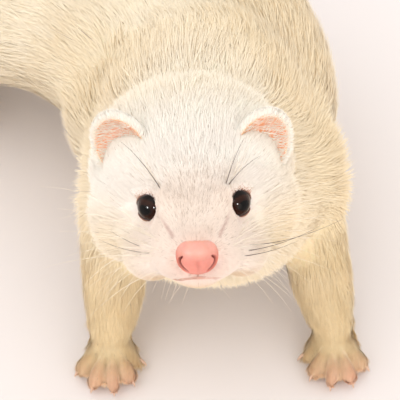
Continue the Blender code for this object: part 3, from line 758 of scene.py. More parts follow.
@dataclass(frozen=True)
class Figure:
    """The body's named lengths and paws."""

    trunk: tuple[tuple[float, ...], ...] = (
        (0.0, 25.0, 79.0, 23.0),
        (2.0, 33.0, 66.0, 27.0),
        (3.5, 40.5, 53.0, 30.0),
        (5.0, 52.0, 45.0, 32.0),
        (6.5, 72.0, 44.0, 34.0),
        (4.5, 91.0, 44.5, 36.0),
        (-4.0, 111.0, 46.0, 39.0),
        (-27.0, 132.0, 48.0, 40.0),
        (-62.0, 145.0, 49.5, 38.0),
        (-101.0, 150.0, 47.5, 35.0),
        (-130.0, 145.0, 40.0, 26.0),
        (-149.0, 138.0, 32.0, 14.0),
    )
    tail: tuple[tuple[float, ...], ...] = (
        (-134.0, 146.0, 37.0, 13.0),
        (-154.0, 136.0, 29.0, 12.0),
        (-176.0, 126.0, 18.5, 12.0),
        (-202.0, 112.0, 11.0, 11.5),
        (-228.0, 94.0, 9.0, 10.0),
        (-248.0, 74.0, 7.0, 8.0),
        (-260.0, 55.0, 4.6, 5.0),
    )
    fore_right: tuple[tuple[float, ...], ...] = (
        (-16.0, 60.0, 49.0, 17.0),
        (-19.5, 56.0, 41.0, 15.5),
        (-22.5, 51.0, 31.0, 13.0),
        (-24.0, 40.0, 21.5, 11.2),
        (-25.0, 31.0, 13.0, 9.2),
        (-25.5, 24.0, 7.0, 7.6),
        (-26.0, 13.0, 4.6, 7.6),
        (-26.4, 4.0, 3.4, 8.0),
    )
    fore_left: tuple[tuple[float, ...], ...] = (
        (28.0, 60.0, 49.0, 17.0),
        (31.5, 57.0, 41.0, 15.5),
        (34.0, 52.0, 31.0, 13.0),
        (37.5, 42.0, 21.5, 11.0),
        (40.5, 33.0, 13.0, 9.2),
        (42.5, 26.0, 7.0, 7.6),
        (43.0, 15.0, 4.6, 7.6),
        (43.6, 6.0, 3.4, 8.0),
    )
    hip: tuple[float, float] = (-104.0, 149.5)
    hip_heading: float = 3.0
    hind: tuple[tuple[float, ...], ...] = (
        (-8.0, 22.5, 47.0, 19.0),
        (6.0, 24.5, 38.0, 19.0),
        (22.0, 26.5, 27.0, 14.5),
        (4.0, 28.0, 17.5, 10.5),
        (-13.0, 28.5, 9.5, 8.2),
        (-2.0, 29.0, 5.6, 7.4),
        (12.0, 29.5, 4.8, 7.8),
        (25.0, 29.5, 3.6, 8.0),
    )
    front_toes: tuple[tuple[float, float, float], ...] = (
        (-48.0, 12.0, 3.4),
        (-18.0, 14.0, 3.6),
        (8.0, 14.2, 3.6),
        (34.0, 12.6, 3.4),
        (70.0, 9.8, 2.8),
    )
    hind_toes: tuple[tuple[float, float, float], ...] = (
        (-40.0, 12.4, 3.3),
        (-17.0, 14.6, 3.5),
        (6.0, 15.0, 3.5),
        (28.0, 13.4, 3.3),
        (56.0, 10.4, 2.8),
    )

    def hip_axes(self) -> tuple[np.ndarray, np.ndarray]:
        """Forward and left of the hips, on the floor."""
        turn = math.radians(self.hip_heading)
        return np.array((math.cos(turn), math.sin(turn), 0.0)), np.array((-math.sin(turn), math.cos(turn), 0.0))

    def hind_rows(self, side: Side) -> tuple[tuple[float, ...], ...]:
        """Stations of a hind leg on the design's axes."""
        ahead, left = self.hip_axes()
        rows = []
        for forward, outward, height, radius in self.hind:
            place = np.array((*self.hip, height)) + ahead * forward + left * side.value * outward
            rows.append((*place, radius))
        return tuple(rows)

    def paws(self) -> list[Paw]:
        """The four paws."""
        made = []
        for side, palm, heading in ((Side.RIGHT, (-25.5, 21.0, 0.0), -3.0), (Side.LEFT, (42.5, 23.0, 0.0), 3.0)):
            turn = math.radians(heading)
            ahead = np.array((math.sin(turn), -math.cos(turn), 0.0))
            inward = -side.value * np.array((math.cos(turn), math.sin(turn), 0.0))
            made.append(Paw("front_" + side.word, np.array(palm), ahead, inward, self.front_toes))
            ahead, left = self.hip_axes()
            place = np.array((*self.hip, 0.0)) + ahead * 14.0 + left * side.value * 29.5
            made.append(Paw("hind_" + side.word, place, ahead, -left * side.value, self.hind_toes))
        return made

    def lengths(self) -> list[CoatLength]:
        """The lengths behind the head, with their coat."""
        body = ((0.0, 9.5, 16.0), (0.2, 11.0, 12.5), (0.5, 12.5, 11.5), (1.0, 12.5, 14.0))
        tail = ((0.0, 14.0, 23.0), (0.3, 17.0, 25.0), (0.7, 17.0, 24.0), (1.0, 15.0, 14.0))
        leg = ((0.0, 10.0, 15.0), (0.35, 7.5, 14.5), (0.6, 5.5, 15.0), (0.76, 3.8, 15.0))
        paw = ((0.84, 2.8, 16.0), (1.0, 1.7, 15.0))
        across = (0.0, 1.0, 0.0)
        return [
            CoatLength("trunk", self.trunk, body, (0.5, 0.5, 1.0, 1.0)),
            CoatLength("tail", self.tail, tail, (0.0, 0.34, 0.5, 0.5)),
            CoatLength("fore_right", self.fore_right, leg + paw, (0.0, 0.0, 0.25, 0.33), across),
            CoatLength("fore_left", self.fore_left, leg + paw, (0.25, 0.0, 0.5, 0.33), across),
            CoatLength("hind_right", self.hind_rows(Side.RIGHT), leg + paw, (0.5, 0.0, 0.75, 0.33), across),
            CoatLength("hind_left", self.hind_rows(Side.LEFT), leg + paw, (0.75, 0.0, 1.0, 0.33), across),
        ]


@dataclass
class Lie:
    """The coat at a set of places: one row a place in each array."""

    flow: np.ndarray
    length: np.ndarray
    depth: np.ndarray
    lift: np.ndarray
    share: np.ndarray
    part: np.ndarray
    fraction: np.ndarray
    unwrap: np.ndarray
    head: np.ndarray


@dataclass
class CoatMap:
    """Where each hair of the coat points, and how long it is, anywhere on the skin.

    Attributes:
        stance: How the head is held.
        figure: The body's named lengths.
        nose_reach: The nose tip's distance ahead of the eyes.
        head_coat: Distance behind the nose tip, hair length, and lift.
        head_radius: Distance behind the nose tip and the head's radius there.
    """

    stance: Stance
    figure: Figure
    nose_reach: float = 19.0
    head_coat: tuple[tuple[float, ...], ...] = (
        (0.0, 1.3, 13.0),
        (6.0, 1.9, 14.0),
        (14.0, 3.0, 18.0),
        (24.0, 4.2, 19.0),
        (38.0, 6.0, 20.0),
        (55.0, 7.8, 22.0),
        (70.0, 9.0, 23.0),
    )
    head_radius: tuple[tuple[float, float], ...] = (
        (4.0, 7.0),
        (8.0, 9.5),
        (16.0, 12.0),
        (22.0, 16.5),
        (30.0, 21.0),
        (40.0, 24.5),
        (50.0, 25.0),
        (60.0, 24.5),
    )
    axes: HeadAxes = field(init=False)
    lengths: list[CoatLength] = field(init=False)
    tables: list[dict[str, np.ndarray]] = field(init=False)

    def __post_init__(self) -> None:
        """Lays out every middle line in the frame's metres."""
        self.axes = self.stance.head()
        self.shift = self.stance.shift(self.axes)
        self.lengths = self.figure.lengths()
        reach = np.array(self.head_radius)
        rows = [(*(np.array(self.axes.point(0.0, s - self.nose_reach, -4.5)) / MM), r) for s, r in reach]
        coat = [((c[0] - 4.0) / 56.0, *c[1:]) for c in self.head_coat]
        self.tables = [self.table(np.array(rows), coat, (0.0, 0.5, 0.5, 1.0), (0.0, 0.0, 1.0), 6)]
        for part in self.lengths:
            stations = np.array(part.stations) + np.array((*self.shift, 0.0))
            self.tables.append(self.table(stations, part.coat, part.island, part.hint, 6))

    @staticmethod
    def table(
        stations: np.ndarray,
        coat: Sequence[Sequence[float]],
        island: tuple[float, ...],
        hint: tuple[float, ...],
        per_span: int,
    ) -> dict[str, np.ndarray]:
        """The fine rows of one middle line.

        Args:
            stations: x, y, z and radius in millimetres.
            coat: Fraction, hair length and lift.
            island: The box of its unwrap.
            hint: A direction that is never along the line.
            per_span: Rows between two stations.

        Returns:
            Arrays by name, a row a place on the line.
        """
        rows = smooth_rows(stations, per_span)
        tangent = unit(np.gradient(rows[:, :3], axis=0))
        side = unit(np.cross(tangent, np.array(hint)))
        run = np.concatenate([[0.0], np.cumsum(np.linalg.norm(np.diff(rows[:, :3], axis=0), axis=1))])
        fraction = run / run[-1]
        values = np.array(coat)
        columns = [np.interp(fraction, values[:, 0], values[:, k]) for k in (1, 2)]
        return {
            "spot": rows[:, :3] * MM,
            "radius": rows[:, 3] * MM,
            "tangent": tangent,
            "side": side,
            "up": np.cross(side, tangent),
            "fraction": fraction,
            "coat": np.stack(columns, axis=1),
            "island": np.array(island),
        }

    def toes(self, points: np.ndarray) -> tuple[np.ndarray, np.ndarray]:
        """How much each place belongs to a toe, and to the crease between two toes.

        Args:
            points: Places in metres.

        Returns:
            A share from 0 to 1 of each.
        """
        toe, crease = np.zeros(len(points)), np.zeros(len(points))
        for paw in self.figure.paws():
            offset = points / MM - paw.palm - self.shift
            gaps = []
            for _, way, radius in paw.toe_ways():
                along = offset @ way
                across = np.linalg.norm((offset - along[:, None] * way)[:, :2], axis=1)
                gaps.append(np.where(along > 0, across / radius, 9.0))
            gaps = np.sort(np.stack(gaps, 1), axis=1)
            reach = np.linalg.norm(offset[:, :2], axis=1)
            near = ease(reach, 5.0, 8.5) * (reach < 20) * (points[:, 2] < 11 * MM)
            toe = np.maximum(toe, near * np.exp(-((gaps[:, 0] / 0.85) ** 4)))
            crease = np.maximum(crease, near * np.exp(-(((gaps[:, 1] - gaps[:, 0]) / 0.4) ** 2)))
        return toe, crease

    def read(self, points: np.ndarray) -> Lie:
        """Reads the coat's lie at points on or near the skin.

        Args:
            points: Places in metres.

        Returns:
            The lie of the coat, a row a place.
        """
        parts = [self.read_some(points[i : i + 20000]) for i in range(0, len(points), 20000)]
        return Lie(**{key: np.concatenate([getattr(p, key) for p in parts]) for key in Lie.__dataclass_fields__})

    def read_some(self, points: np.ndarray) -> Lie:
        """Reads the coat's lie at up to some thousands of points, as read() does."""
        count = len(points)
        head = self.axes.local(points)
        tip = np.array((0.0, -self.nose_reach + 3.0, -6.0))
        radial = unit(head - tip) @ np.array(self.axes.turn).T
        ratios, flows, coats, fractions, unwraps = [], [], [], [], []
        for k, table in enumerate(self.tables):
            gap = points[:, None] - table["spot"][None]
            ratio = np.linalg.norm(gap, axis=2) / table["radius"]
            near = ratio.argmin(axis=1)
            ratios.append(ratio[np.arange(count), near])
            offset = gap[np.arange(count), near]
            angle = np.arctan2((offset * table["up"][near]).sum(1), (offset * table["side"][near]).sum(1))
            u0, v0, u1, v1 = table["island"]
            along = np.clip(table["fraction"][near], 0.01, 0.99)
            unwraps.append(np.stack([u0 + (u1 - u0) * along, v0 + (v1 - v0) * (0.01 + 0.98 * (angle / 6.2832 + 0.5))], 1))
            fractions.append(table["fraction"][near])
            coats.append(table["coat"][near])
            flows.append(radial if k == 0 else table["tangent"][near])
        ratio = np.stack(ratios, 1)
        # the head's coat is short and its own, so the neck takes over only behind the ears
        ratio[:, 0] -= 0.25 * (1 - ease(head[:, 1], 26, 44))
        # a leg's top gives way to the trunk, so that the hair turns gently from one to the other
        for k in range(3, len(self.tables)):
            ratio[:, k] += 0.45 * (1 - ease(fractions[k], 0.04, 0.34))
        share = np.exp(-5.0 * (ratio - ratio.min(axis=1, keepdims=True)))
        share /= share.sum(axis=1, keepdims=True)
        part = share.argmax(axis=1)
        pick = np.arange(count)
        behind = head[:, 1] + self.nose_reach
        values = np.array(self.head_coat)
        coats[0] = np.stack([np.interp(behind, values[:, 0], values[:, c]) for c in (1, 2)], 1)
        cheek = ease(np.abs(head[:, 0]), 13, 24) * ease(-head[:, 2], -4, 8)
        coats[0][:, 0] *= 1 + 0.35 * cheek
        coats[0][:, 1] *= 1 + 0.4 * cheek
        coat = np.einsum("np,npc->nc", share, np.stack(coats, 1))
        flow = np.einsum("np,npc->nc", share, np.stack(flows, 1))
        return Lie(
            flow=unit(flow),
            length=coat[:, 0],
            depth=coat[:, 0] * stand(coat[:, 1]),
            lift=coat[:, 1],
            share=share,
            part=part,
            fraction=np.stack(fractions, 1)[pick, part],
            unwrap=np.stack(unwraps, 1)[pick, part],
            head=head,
        )


@dataclass(frozen=True)
class Markings:
    """The coat's colours by place: white face, cream body, straw-yellow cheeks and legs, pink toes. The animal's left
    cheek, neck and shoulder get extra straw, which is partly their own yellow and partly painted shade of the side
    turned away from the key light.
    """

    back: str = "#FDF0D8"
    crown: str = "#FFF9F1"
    face: str = "#FFF8F1"
    cheek: str = "#FDF1DE"
    straw: str = "#F1D9A8"
    jaw: str = "#E3C495"
    under: str = "#F6E3BE"
    leg: str = "#F0D8AA"
    toe: str = "#F5C6AC"
    snout: str = "#F8E8DB"
    muzzle: str = "#FBE1D7"
    lid: str = "#DDB3A2"
    streak: str = "#B9847A"

    def colours(self, points: np.ndarray, lie: Lie, coat_map: CoatMap) -> np.ndarray:
        """The coat's linear colour at each place.

        Args:
            points: Places in metres.
            lie: The coat's lie there.
            coat_map: How the head is held and where the toes are.

        Returns:
            A linear colour a place.
        """
        head, stance, floor = lie.head, coat_map.stance, 0.0
        toes = coat_map.toes(points)[0]
        out = mixed(np.zeros((len(points), 3)), self.back, np.ones(len(points)))
        out = mixed(out, self.under, 0.6 * (1 - ease(points[:, 2] - floor, 0.008, 0.05)))
        legs = lie.share[:, 3:].sum(1)
        out = mixed(out, self.leg, 0.8 * legs * (1 - ease(points[:, 2] - floor, 0.02, 0.055)))
        paw = (lie.part >= 3) * ease(lie.fraction, 0.8, 0.97)
        out = mixed(out, self.toe, paw * (0.2 + 0.7 * toes))
        # Straw in loose random patches, and on the animal's left front half, where it is partly its own yellow and
        # partly painted shade of the side turned away from the key light.
        straw_and_side_shade = ease(ripple(points / MM, 75, 7), -0.3, 1.1) + ease(head[:, 0], 14, 34) * (lie.fraction < 0.45)
        out = mixed(out, self.straw, 0.4 * np.clip(straw_and_side_shade, 0, 1))
        skull = lie.share[:, 0]
        out = mixed(out, self.crown, skull * (1 - 0.75 * ease(head[:, 1], 16, 44)))
        front = 1 - ease(head[:, 1], 2, 26)
        out = mixed(out, self.face, skull * front)
        out = mixed(out, self.snout, 0.9 * skull * (1 - ease(head[:, 1], -8, 9)))
        side = np.abs(head[:, 0])
        out = mixed(out, self.cheek, skull * ease(side, 12, 22) * ease(-head[:, 2], -2, 10))
        patch = np.exp(-(((side - 17) / 6) ** 2 + ((head[:, 1] - 4) / 8) ** 2 + ((head[:, 2] + 13) / 5) ** 2))
        out = mixed(out, self.straw, 0.5 * skull * patch)
        # The lower left side of the head: straw that is partly its own yellow and partly painted shade of the side
        # turned away from the key light.
        left = ease(head[:, 0], 12, 28) * ease(-head[:, 2], -12, 6)
        out = mixed(out, self.straw, 0.45 * skull * left)
        nose = np.exp(-(((head[:, 1] + 18) / 5) ** 2 + (side / 8) ** 2 + ((head[:, 2] + 7) / 7) ** 2))
        out = mixed(out, self.muzzle, 0.8 * nose)
        chin = ease(-head[:, 2], 11.8, 15.0) * (1 - ease(side, 9, 17))
        out = mixed(out, self.jaw, 0.8 * skull * chin * front)
        for eye in Side:
            centre, look = np.array(stance.eye_centre(eye)), np.array(stance.gaze(eye))
            gap = head - centre - look * 4.6
            out = mixed(out, self.lid, 0.75 * np.exp(-((np.linalg.norm(gap, axis=1) / 3.9) ** 4)))
            start, end = np.array((eye.value * 9.9, -3.6)), np.array((eye.value * 5.4, -13.2))
            flat = head[:, :2] - start
            t = np.clip((flat @ (end - start)) / ((end - start) @ (end - start)), 0, 1)
            off = np.linalg.norm(flat - t[:, None] * (end - start), axis=1)
            above = ease(head[:, 2], -8.0, -5.0)
            out = mixed(out, self.streak, 0.5 * above * ease(t, 0.2, 0.8) * np.exp(-((off / 0.3) ** 2)))
        return out


# ---------------------------------------------------------------- skin


@dataclass
class Skin:
    """One skin over the whole animal, inside the solids by the depth of the coat.

    Attributes:
        coat_map: The lie of the coat.
        markings: Its colours.
        voxel: The size of the remesh.
        swell: How far each solid grows so that the gaps between nodes close.
        socket: The radius to which the skin falls back behind the eye.
        trunk_rounds: Rounds of smoothing of the neck and trunk.
    """

    coat_map: CoatMap
    markings: Markings
    voxel: float = 1.1
    swell: float = 0.26
    socket: float = 4.05
    trunk_rounds: int = 140

    def build(self, nodes: dict[str, bpy.types.Object], finish: bpy.types.Material) -> bpy.types.Object:
        """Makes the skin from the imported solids.

        Args:
            nodes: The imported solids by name.
            finish: The skin's material.

        Returns:
            The skin, which replaces the nodes of flesh.
        """
        pieces = []
        for name in FLESH + ["eye_left", "eye_right"]:
            twin = new_object("twin", nodes[name].data.copy())
            grown = places_of(twin.data) + normals_of(twin.data) * self.swell * MM
            twin.data.vertices.foreach_set("co", grown.astype(np.float32).ravel())
            pieces.append(twin)
        made = self.evened(melted(joined("skin", pieces + self.toe_lobes()), self.voxel, 4))
        points, normals = places_of(made.data), normals_of(made.data)
        lie = self.coat_map.read(points)
        creases = 2.1 * self.coat_map.toes(points)[1]
        points = points - normals * (lie.depth + self.swell + creases)[:, None] * MM
        points = self.fallen_back(points)
        points = self.behind_nose(points, lie.head)
        points = self.without_claws(points)
        points[:, 2] = np.maximum(points[:, 2], 0.4 * MM)
        made.data.vertices.foreach_set("co", points.astype(np.float32).ravel())
        made.data.update()
        soften = made.modifiers.new("soften", "SMOOTH")
        soften.factor = 0.5
        soften.iterations = 2
        settle(made)
        points = places_of(made.data)
        lie = self.coat_map.read(points)
        paint(made.data, self.markings.colours(points, lie, self.coat_map))
        made.data.shade_smooth()
        dress(made, finish, FLESH)
        return made

    def evened(self, made: bpy.types.Object) -> bpy.types.Object:
        """Evens out the folds of the neck and trunk, and leaves the face, legs and tail as they are."""
        lie = self.coat_map.read(places_of(made.data))
        share = lie.share[:, 1] + lie.share[:, 0] * ease(lie.head[:, 1], 32, 46)
        level = np.round(10 * ease(share, 0.35, 0.85)).astype(int)
        group = made.vertex_groups.new(name="trunk")
        for k in range(1, 11):
            group.add(np.flatnonzero(level == k).tolist(), k / 10, "REPLACE")
        soften = made.modifiers.new("soften", "SMOOTH")
        soften.factor = 0.5
        soften.iterations = self.trunk_rounds
        soften.vertex_group = "trunk"
        return settle(made)

    def toe_lobes(self) -> list[bpy.types.Object]:
        """A long rounded lobe for each toe, which the remesh melts into its paw."""
        lobes = []
        for paw in self.coat_map.figure.paws():
            palm = paw.palm + self.coat_map.shift
            for (_, way, radius), (_, reach, _) in zip(paw.toe_ways(), paw.toes):
                place = palm + way * 0.66 * reach + (0, 0, 1.02 * radius)
                turn = facing(Vector(way), Vector((0, 0, 1)))
                radii = (1.06 * radius, 0.47 * reach, 1.2 * radius)
                lobes.append(ball("toe", Vector(place * MM), radii, turn, 24, 16))
        return lobes

    def fallen_back(self, points: np.ndarray) -> np.ndarray:
        """Lets the skin fall in behind each eye, so that the ball stands in an opening."""
        stance, axes = self.coat_map.stance, self.coat_map.axes
        for side in Side:
            centre = np.array(axes.point(*stance.eye_centre(side)))
            look = np.array(axes.turn @ stance.gaze(side))
            offset = points - centre
            away = np.linalg.norm(offset, axis=1)
            angle = np.arccos(np.clip((offset @ look) / np.maximum(away, 1e-9), -1, 1))
            inner = self.socket * MM
            limit = inner + (away - inner) * ease(angle, 1.12, 1.46)
            near = (away < 9 * MM) & (angle < 1.46) & (away > limit)
            points[near] = centre + offset[near] / away[near, None] * limit[near, None]
        return points

    def behind_nose(self, points: np.ndarray, head: np.ndarray) -> np.ndarray:
        """Draws the skin back behind the nose pad, so that it never shows in the nostrils."""
        off = np.hypot(head[:, 0] / 5.4, (head[:, 2] + 6.0) / 4.3)
        back = 1.6 * (1 - ease(off, 0.75, 1.0)) * (head[:, 1] < -11)
        return points + np.array(self.coat_map.axes.way(0, 1, 0)) * back[:, None] * MM

    def without_claws(self, points: np.ndarray) -> np.ndarray:
        """Draws the solids' claws back into the tips of the toes."""
        for paw in self.coat_map.figure.paws():
            for tip, way, radius in paw.toe_ways():
                start = (tip + self.coat_map.shift) * MM
                offset = points - start
                along = offset @ way
                across = offset - along[:, None] * way
                across[:, 2] = 0.0
                near = (along > 1.3 * MM) & (along < 6 * MM) & (np.linalg.norm(across, axis=1) < radius * MM)
                near &= points[:, 2] < 9 * MM
                points[near] -= way * ((along[near] - 1.3 * MM) * 0.9)[:, None]
        return points


# ---------------------------------------------------------------- the coat


class TuftForm(Enum):
    """How one tuft is made: its points across, up and along, and its faces.

    FINE is a flat blade for the short hair of the face, and FULL a ridged lock with a pointed root and tip.
    """

    FINE = "fine"
    FULL = "full"

    def pattern(self) -> tuple[np.ndarray, np.ndarray, np.ndarray]:
        """The tuft's plan.

        Returns:
            Points as (across, up, share of the length), faces, and each point's place in the patch of the unwrap.
        """
        if self is TuftForm.FINE:
            plan = ((-0.4, 0.0, 0.0), (0.4, 0.0, 0.0), (-0.5, 0.0, 0.45), (0.5, 0.0, 0.45), (0.0, 0.0, 1.0))
            faces = ((0, 1, 3), (0, 3, 2), (2, 3, 4))
            patch = ((-1, -1), (1, -1), (-1, 0.1), (1, 0.1), (0, 1))
        else:
            plan = (
                (0.0, 0.0, 0.0),
                (-0.5, 0.0, 0.3),
                (0.0, 0.32, 0.3),
                (0.5, 0.0, 0.3),
                (-0.36, 0.0, 0.68),
                (0.0, 0.2, 0.68),
                (0.36, 0.0, 0.68),
                (0.0, 0.0, 1.0),
            )
            faces = ((0, 3, 2), (0, 2, 1), (1, 2, 5), (1, 5, 4), (2, 3, 6), (2, 6, 5), (4, 5, 7), (5, 6, 7))
            patch = ((0, -1), (-1, -0.3), (0, -0.3), (1, -0.3), (-0.7, 0.4), (0, 0.4), (0.7, 0.4), (0, 1))
        return np.array(plan), np.array(faces), np.array(patch, float)


@dataclass
class Roots:
    """Rooted tufts: one row a tuft in each array; lengths and widths are in millimetres."""

    points: np.ndarray
    normals: np.ndarray
    flow: np.ndarray
    length: np.ndarray
    width: np.ndarray
    lift: np.ndarray
    colours: np.ndarray
    unwrap: np.ndarray

    def picked(self, which: np.ndarray) -> Roots:
        """The tufts of a mask."""
        return Roots(**{key: getattr(self, key)[which] for key in Roots.__dataclass_fields__})

    def grow(self, name: str, form: TuftForm, sunk: float = 0.3, patch: float = 0.003) -> bpy.types.Object:
        """Makes the tufts' mesh.

        Args:
            name: The piece's name.
            form: How one tuft is made.
            sunk: The most that a root lies in the skin, in millimetres; short hair is rooted less deep.
            patch: The width of a tuft's patch of the unwrap.

        Returns:
            The piece, painted and unwrapped.
        """
        plan, faces, corner = form.pattern()
        count, size = len(self.points), len(plan)
        spine = [self.points - self.normals * np.minimum(sunk, 0.05 * self.length)[:, None] * MM]
        side = unit(np.cross(self.flow, self.normals))
        at = 0.0
        for k, (start, share) in enumerate(BENDS):
            end = BENDS[k + 1][0] if k + 1 < len(BENDS) else 1.0
            angle = np.radians(self.lift * share)[:, None]
            way = self.flow * np.cos(angle) + self.normals * np.sin(angle)
            spine.append(spine[-1] + way * (self.length * (end - start) * MM)[:, None])
            at = end
        knots = np.array([start for start, _ in BENDS] + [at])
        points = np.empty((count, size, 3))
        for k, (across, up, along) in enumerate(plan):
            j = min(int(np.searchsorted(knots, along, side="right")) - 1, len(knots) - 2)
            u = (along - knots[j]) / (knots[j + 1] - knots[j])
            middle = spine[j] * (1 - u) + spine[j + 1] * u
            wide = (self.width * MM)[:, None]
            points[:, k] = middle + side * wide * across + self.normals * wide * up
        points[:, :, 2] = np.maximum(points[:, :, 2], 0.25 * MM)
        corners = (faces[None] + (np.arange(count) * size)[:, None, None]).reshape(-1, 3)
        mesh = mesh_of(name, points.reshape(-1, 3), corners)
        # Painted shade deep in the coat: each tuft is a little darker at its root and lighter towards its tip.
        tone = 0.98 + 0.03 * plan[:, 2]
        paint(mesh, (self.colours[:, None] * tone[None, :, None]).reshape(-1, 3))
        spots = self.unwrap[:, None] + corner[None] * patch / 2
        layer = mesh.uv_layers.new(name="OFBake")
        layer.uv.foreach_set("vector", spots.reshape(-1, 2)[corners.ravel()].astype(np.float32).ravel())
        return new_object(name, mesh)


def turned(flow: np.ndarray, normals: np.ndarray, angle: np.ndarray) -> np.ndarray:
    """Directions laid on the skin and turned on it.

    Args:
        flow: The direction at each place.
        normals: The way the skin faces there.
        angle: The turn in radians.

    Returns:
        Directions of length one along the skin.
    """
    flat = unit(flow - normals * (flow * normals).sum(1)[:, None])
    return flat * np.cos(angle)[:, None] + np.cross(normals, flat) * np.sin(angle)[:, None]


def scattered(mesh: bpy.types.Mesh, per_mm2: np.ndarray, rng: np.random.Generator) -> tuple[np.ndarray, np.ndarray]:
    """Places strewn over a mesh.

    Args:
        mesh: The surface.
        per_mm2: Places a square millimetre, at each point of the mesh.
        rng: The seeded source of chance.

    Returns:
        The places, in metres, and the way the surface faces there.
    """
    mesh.calc_loop_triangles()
    flat = np.empty(len(mesh.loop_triangles) * 3, np.int32)
    mesh.loop_triangles.foreach_get("vertices", flat)
    corners = flat.reshape(-1, 3)
    points, normals = places_of(mesh), normals_of(mesh)
    a, b, c = (points[corners[:, k]] for k in range(3))
    area = np.linalg.norm(np.cross(b - a, c - a), axis=1) / 2 / MM**2
    wanted = area * per_mm2[corners].mean(axis=1)
    total = int(wanted.sum())
    which = rng.choice(len(corners), size=total, p=wanted / wanted.sum())
    u, v = rng.random(total), rng.random(total)
    flip = u + v > 1
    u[flip], v[flip] = 1 - u[flip], 1 - v[flip]
    weights = np.stack([1 - u - v, u, v], 1)[:, :, None]
    chosen = corners[which]
    return (points[chosen] * weights).sum(1), unit((normals[chosen] * weights).sum(1))


@dataclass
class Coat:
    """The fur: fine flat blades on the face and behind it, laid along the coat.

    Attributes:
        coat_map: The lie of the coat.
        markings: Its colours.
        cover_fine: Layers of blades over the skin of the face.
        cover_full: Layers of locks over the skin elsewhere.
        most: The most tufts in one piece.
        seed: Starts the seeded source of chance.
    """

    coat_map: CoatMap
    markings: Markings
    cover_fine: float = 7.0
    cover_full: float = 4.9
    most: int = 65000
    seed: int = 11

    def width(self, length: np.ndarray) -> np.ndarray:
        """A tuft's width for its length, in millimetres."""
        return 0.11 + 0.012 * length

    def fine(self, lie: Lie) -> np.ndarray:
        """Where the short hair of the face grows."""
        return (lie.part == 0) & (lie.head[:, 1] < 24 + 3 * np.sin(lie.head[:, 0]))

    def density(self, points: np.ndarray, lie: Lie) -> np.ndarray:
        """Tufts a square millimetre at each place; 0 on bare skin."""
        cover = np.where(self.fine(lie), self.cover_fine, self.cover_full)
        number = 2 * cover / (lie.length * self.width(lie.length))
        head, stance = lie.head, self.coat_map.stance
        bare = np.zeros(len(points), bool)
        for side in Side:
            centre, look = np.array(stance.eye_centre(side)), np.array(stance.gaze(side))
            offset = head - centre
            away = np.linalg.norm(offset, axis=1)
            angle = np.arccos(np.clip(offset @ look / np.maximum(away, 1e-6), -1, 1))
            bare |= (away < 9) & (angle < 1.16)
        pad = ((head[:, 0] / 5.7) ** 2 + ((head[:, 2] + 5.6) / 4.7) ** 2 < 1) & (head[:, 1] < -12.5)
        bare |= pad
        line = np.array(Mouth(self.coat_map).line)
        lips = np.abs(head[:, 2] - np.interp(np.abs(head[:, 0]), line[:, 0], line[:, 2])) < 0.45
        bare |= lips & (np.abs(head[:, 0]) < line[-1, 0]) & (head[:, 1] < line[-1, 1] + 2)
        sole = (points[:, 2] < 1.2 * MM) & (lie.share[:, 3:].sum(1) > 0.5)
        bare |= sole
        return np.where(bare, 0.0, number)

    def rooted(self, skin: bpy.types.Object) -> tuple[Roots, Lie]:
        """Roots every tuft of the skin.

        Args:
            skin: The skin's object.

        Returns:
            The roots and the lie of the coat at each.
        """
        rng = np.random.default_rng(self.seed)
        spots = places_of(skin.data)
        points, normals = scattered(skin.data, self.density(spots, self.coat_map.read(spots)), rng)
        lie = self.coat_map.read(points)
        count, mm = len(points), points / MM
        yaw = 0.13 * rng.normal(size=count) + 0.14 * ripple(mm, 16, 1) + 0.09 * ripple(mm, 5, 2)
        flow = turned(lie.flow, normals, yaw)
        length = lie.length * rng.uniform(0.72, 1.12, count) * (1 + 0.1 * ripple(mm, 9, 3))
        length = self.clear_of_ears(lie, self.clear_of_eyes(lie, flow, length))
        lift = lie.lift * (1 + 0.2 * ripple(mm, 8, 4) + 0.25 * rng.normal(size=count))
        width = self.width(lie.length) * rng.uniform(0.75, 1.2, count)
        colours = self.markings.colours(points, lie, self.coat_map)
        shade = 1 + 0.02 * rng.normal(size=count) + 0.02 * ripple(mm, 11, 5)
        colours = colours * np.clip(shade, 0.86, 1.08)[:, None]
        colours = self.guard_hairs(lie, colours, rng)
        roots = Roots(points, normals, flow, length, width, np.clip(lift, 3, 48), colours, lie.unwrap)
        return roots, lie

    def clear_of_eyes(self, lie: Lie, flow: np.ndarray, length: np.ndarray) -> np.ndarray:
        """Shortens the hairs that would lie over an eye."""
        stance, turn = self.coat_map.stance, np.array(self.coat_map.axes.turn)
        local = flow @ turn
        for side in Side:
            centre = np.array(stance.eye_centre(side) + stance.gaze(side) * 4.6)
            gap = centre - lie.head
            away = np.linalg.norm(gap, axis=1)
            towards = (local * unit(gap)).sum(1)
            limit = np.maximum(0.5, (away - 3.3) * 0.95 + 0.3)
            length = np.where((towards > 0.1) & (away < 12), np.minimum(length, limit), length)
            length = length * (0.5 + 0.5 * ease(away, 3.5, 9))
        return length

    def clear_of_ears(self, lie: Lie, length: np.ndarray) -> np.ndarray:
        """Shortens the hairs in front of an ear's hollow."""
        for side in Side:
            root, rise, look = Ears(self.coat_map, self.markings).seat(side)
            away = np.linalg.norm(lie.head - np.array(root + rise * 2.0 + look * 5.0), axis=1)
            length = length * (0.4 + 0.6 * ease(away, 6.5, 11.5))
        return length

    def guard_hairs(self, lie: Lie, colours: np.ndarray, rng: np.random.Generator) -> np.ndarray:
        """Tints a few hairs grey-brown on the bridge and brow, and a very few elsewhere."""
        head = lie.head
        bridge = np.exp(-((head[:, 0] / 7.5) ** 2 + ((head[:, 1] + 3) / 10) ** 2)) * (head[:, 2] > -6)
        chance = 0.22 * bridge + 0.005 * lie.share[:, 0] + 0.005
        grey = rng.random(len(colours)) < chance
        share = np.where(grey, rng.uniform(0.25, 0.7, len(colours)), 0.0)
        return mixed(colours, "#A58C76", share)

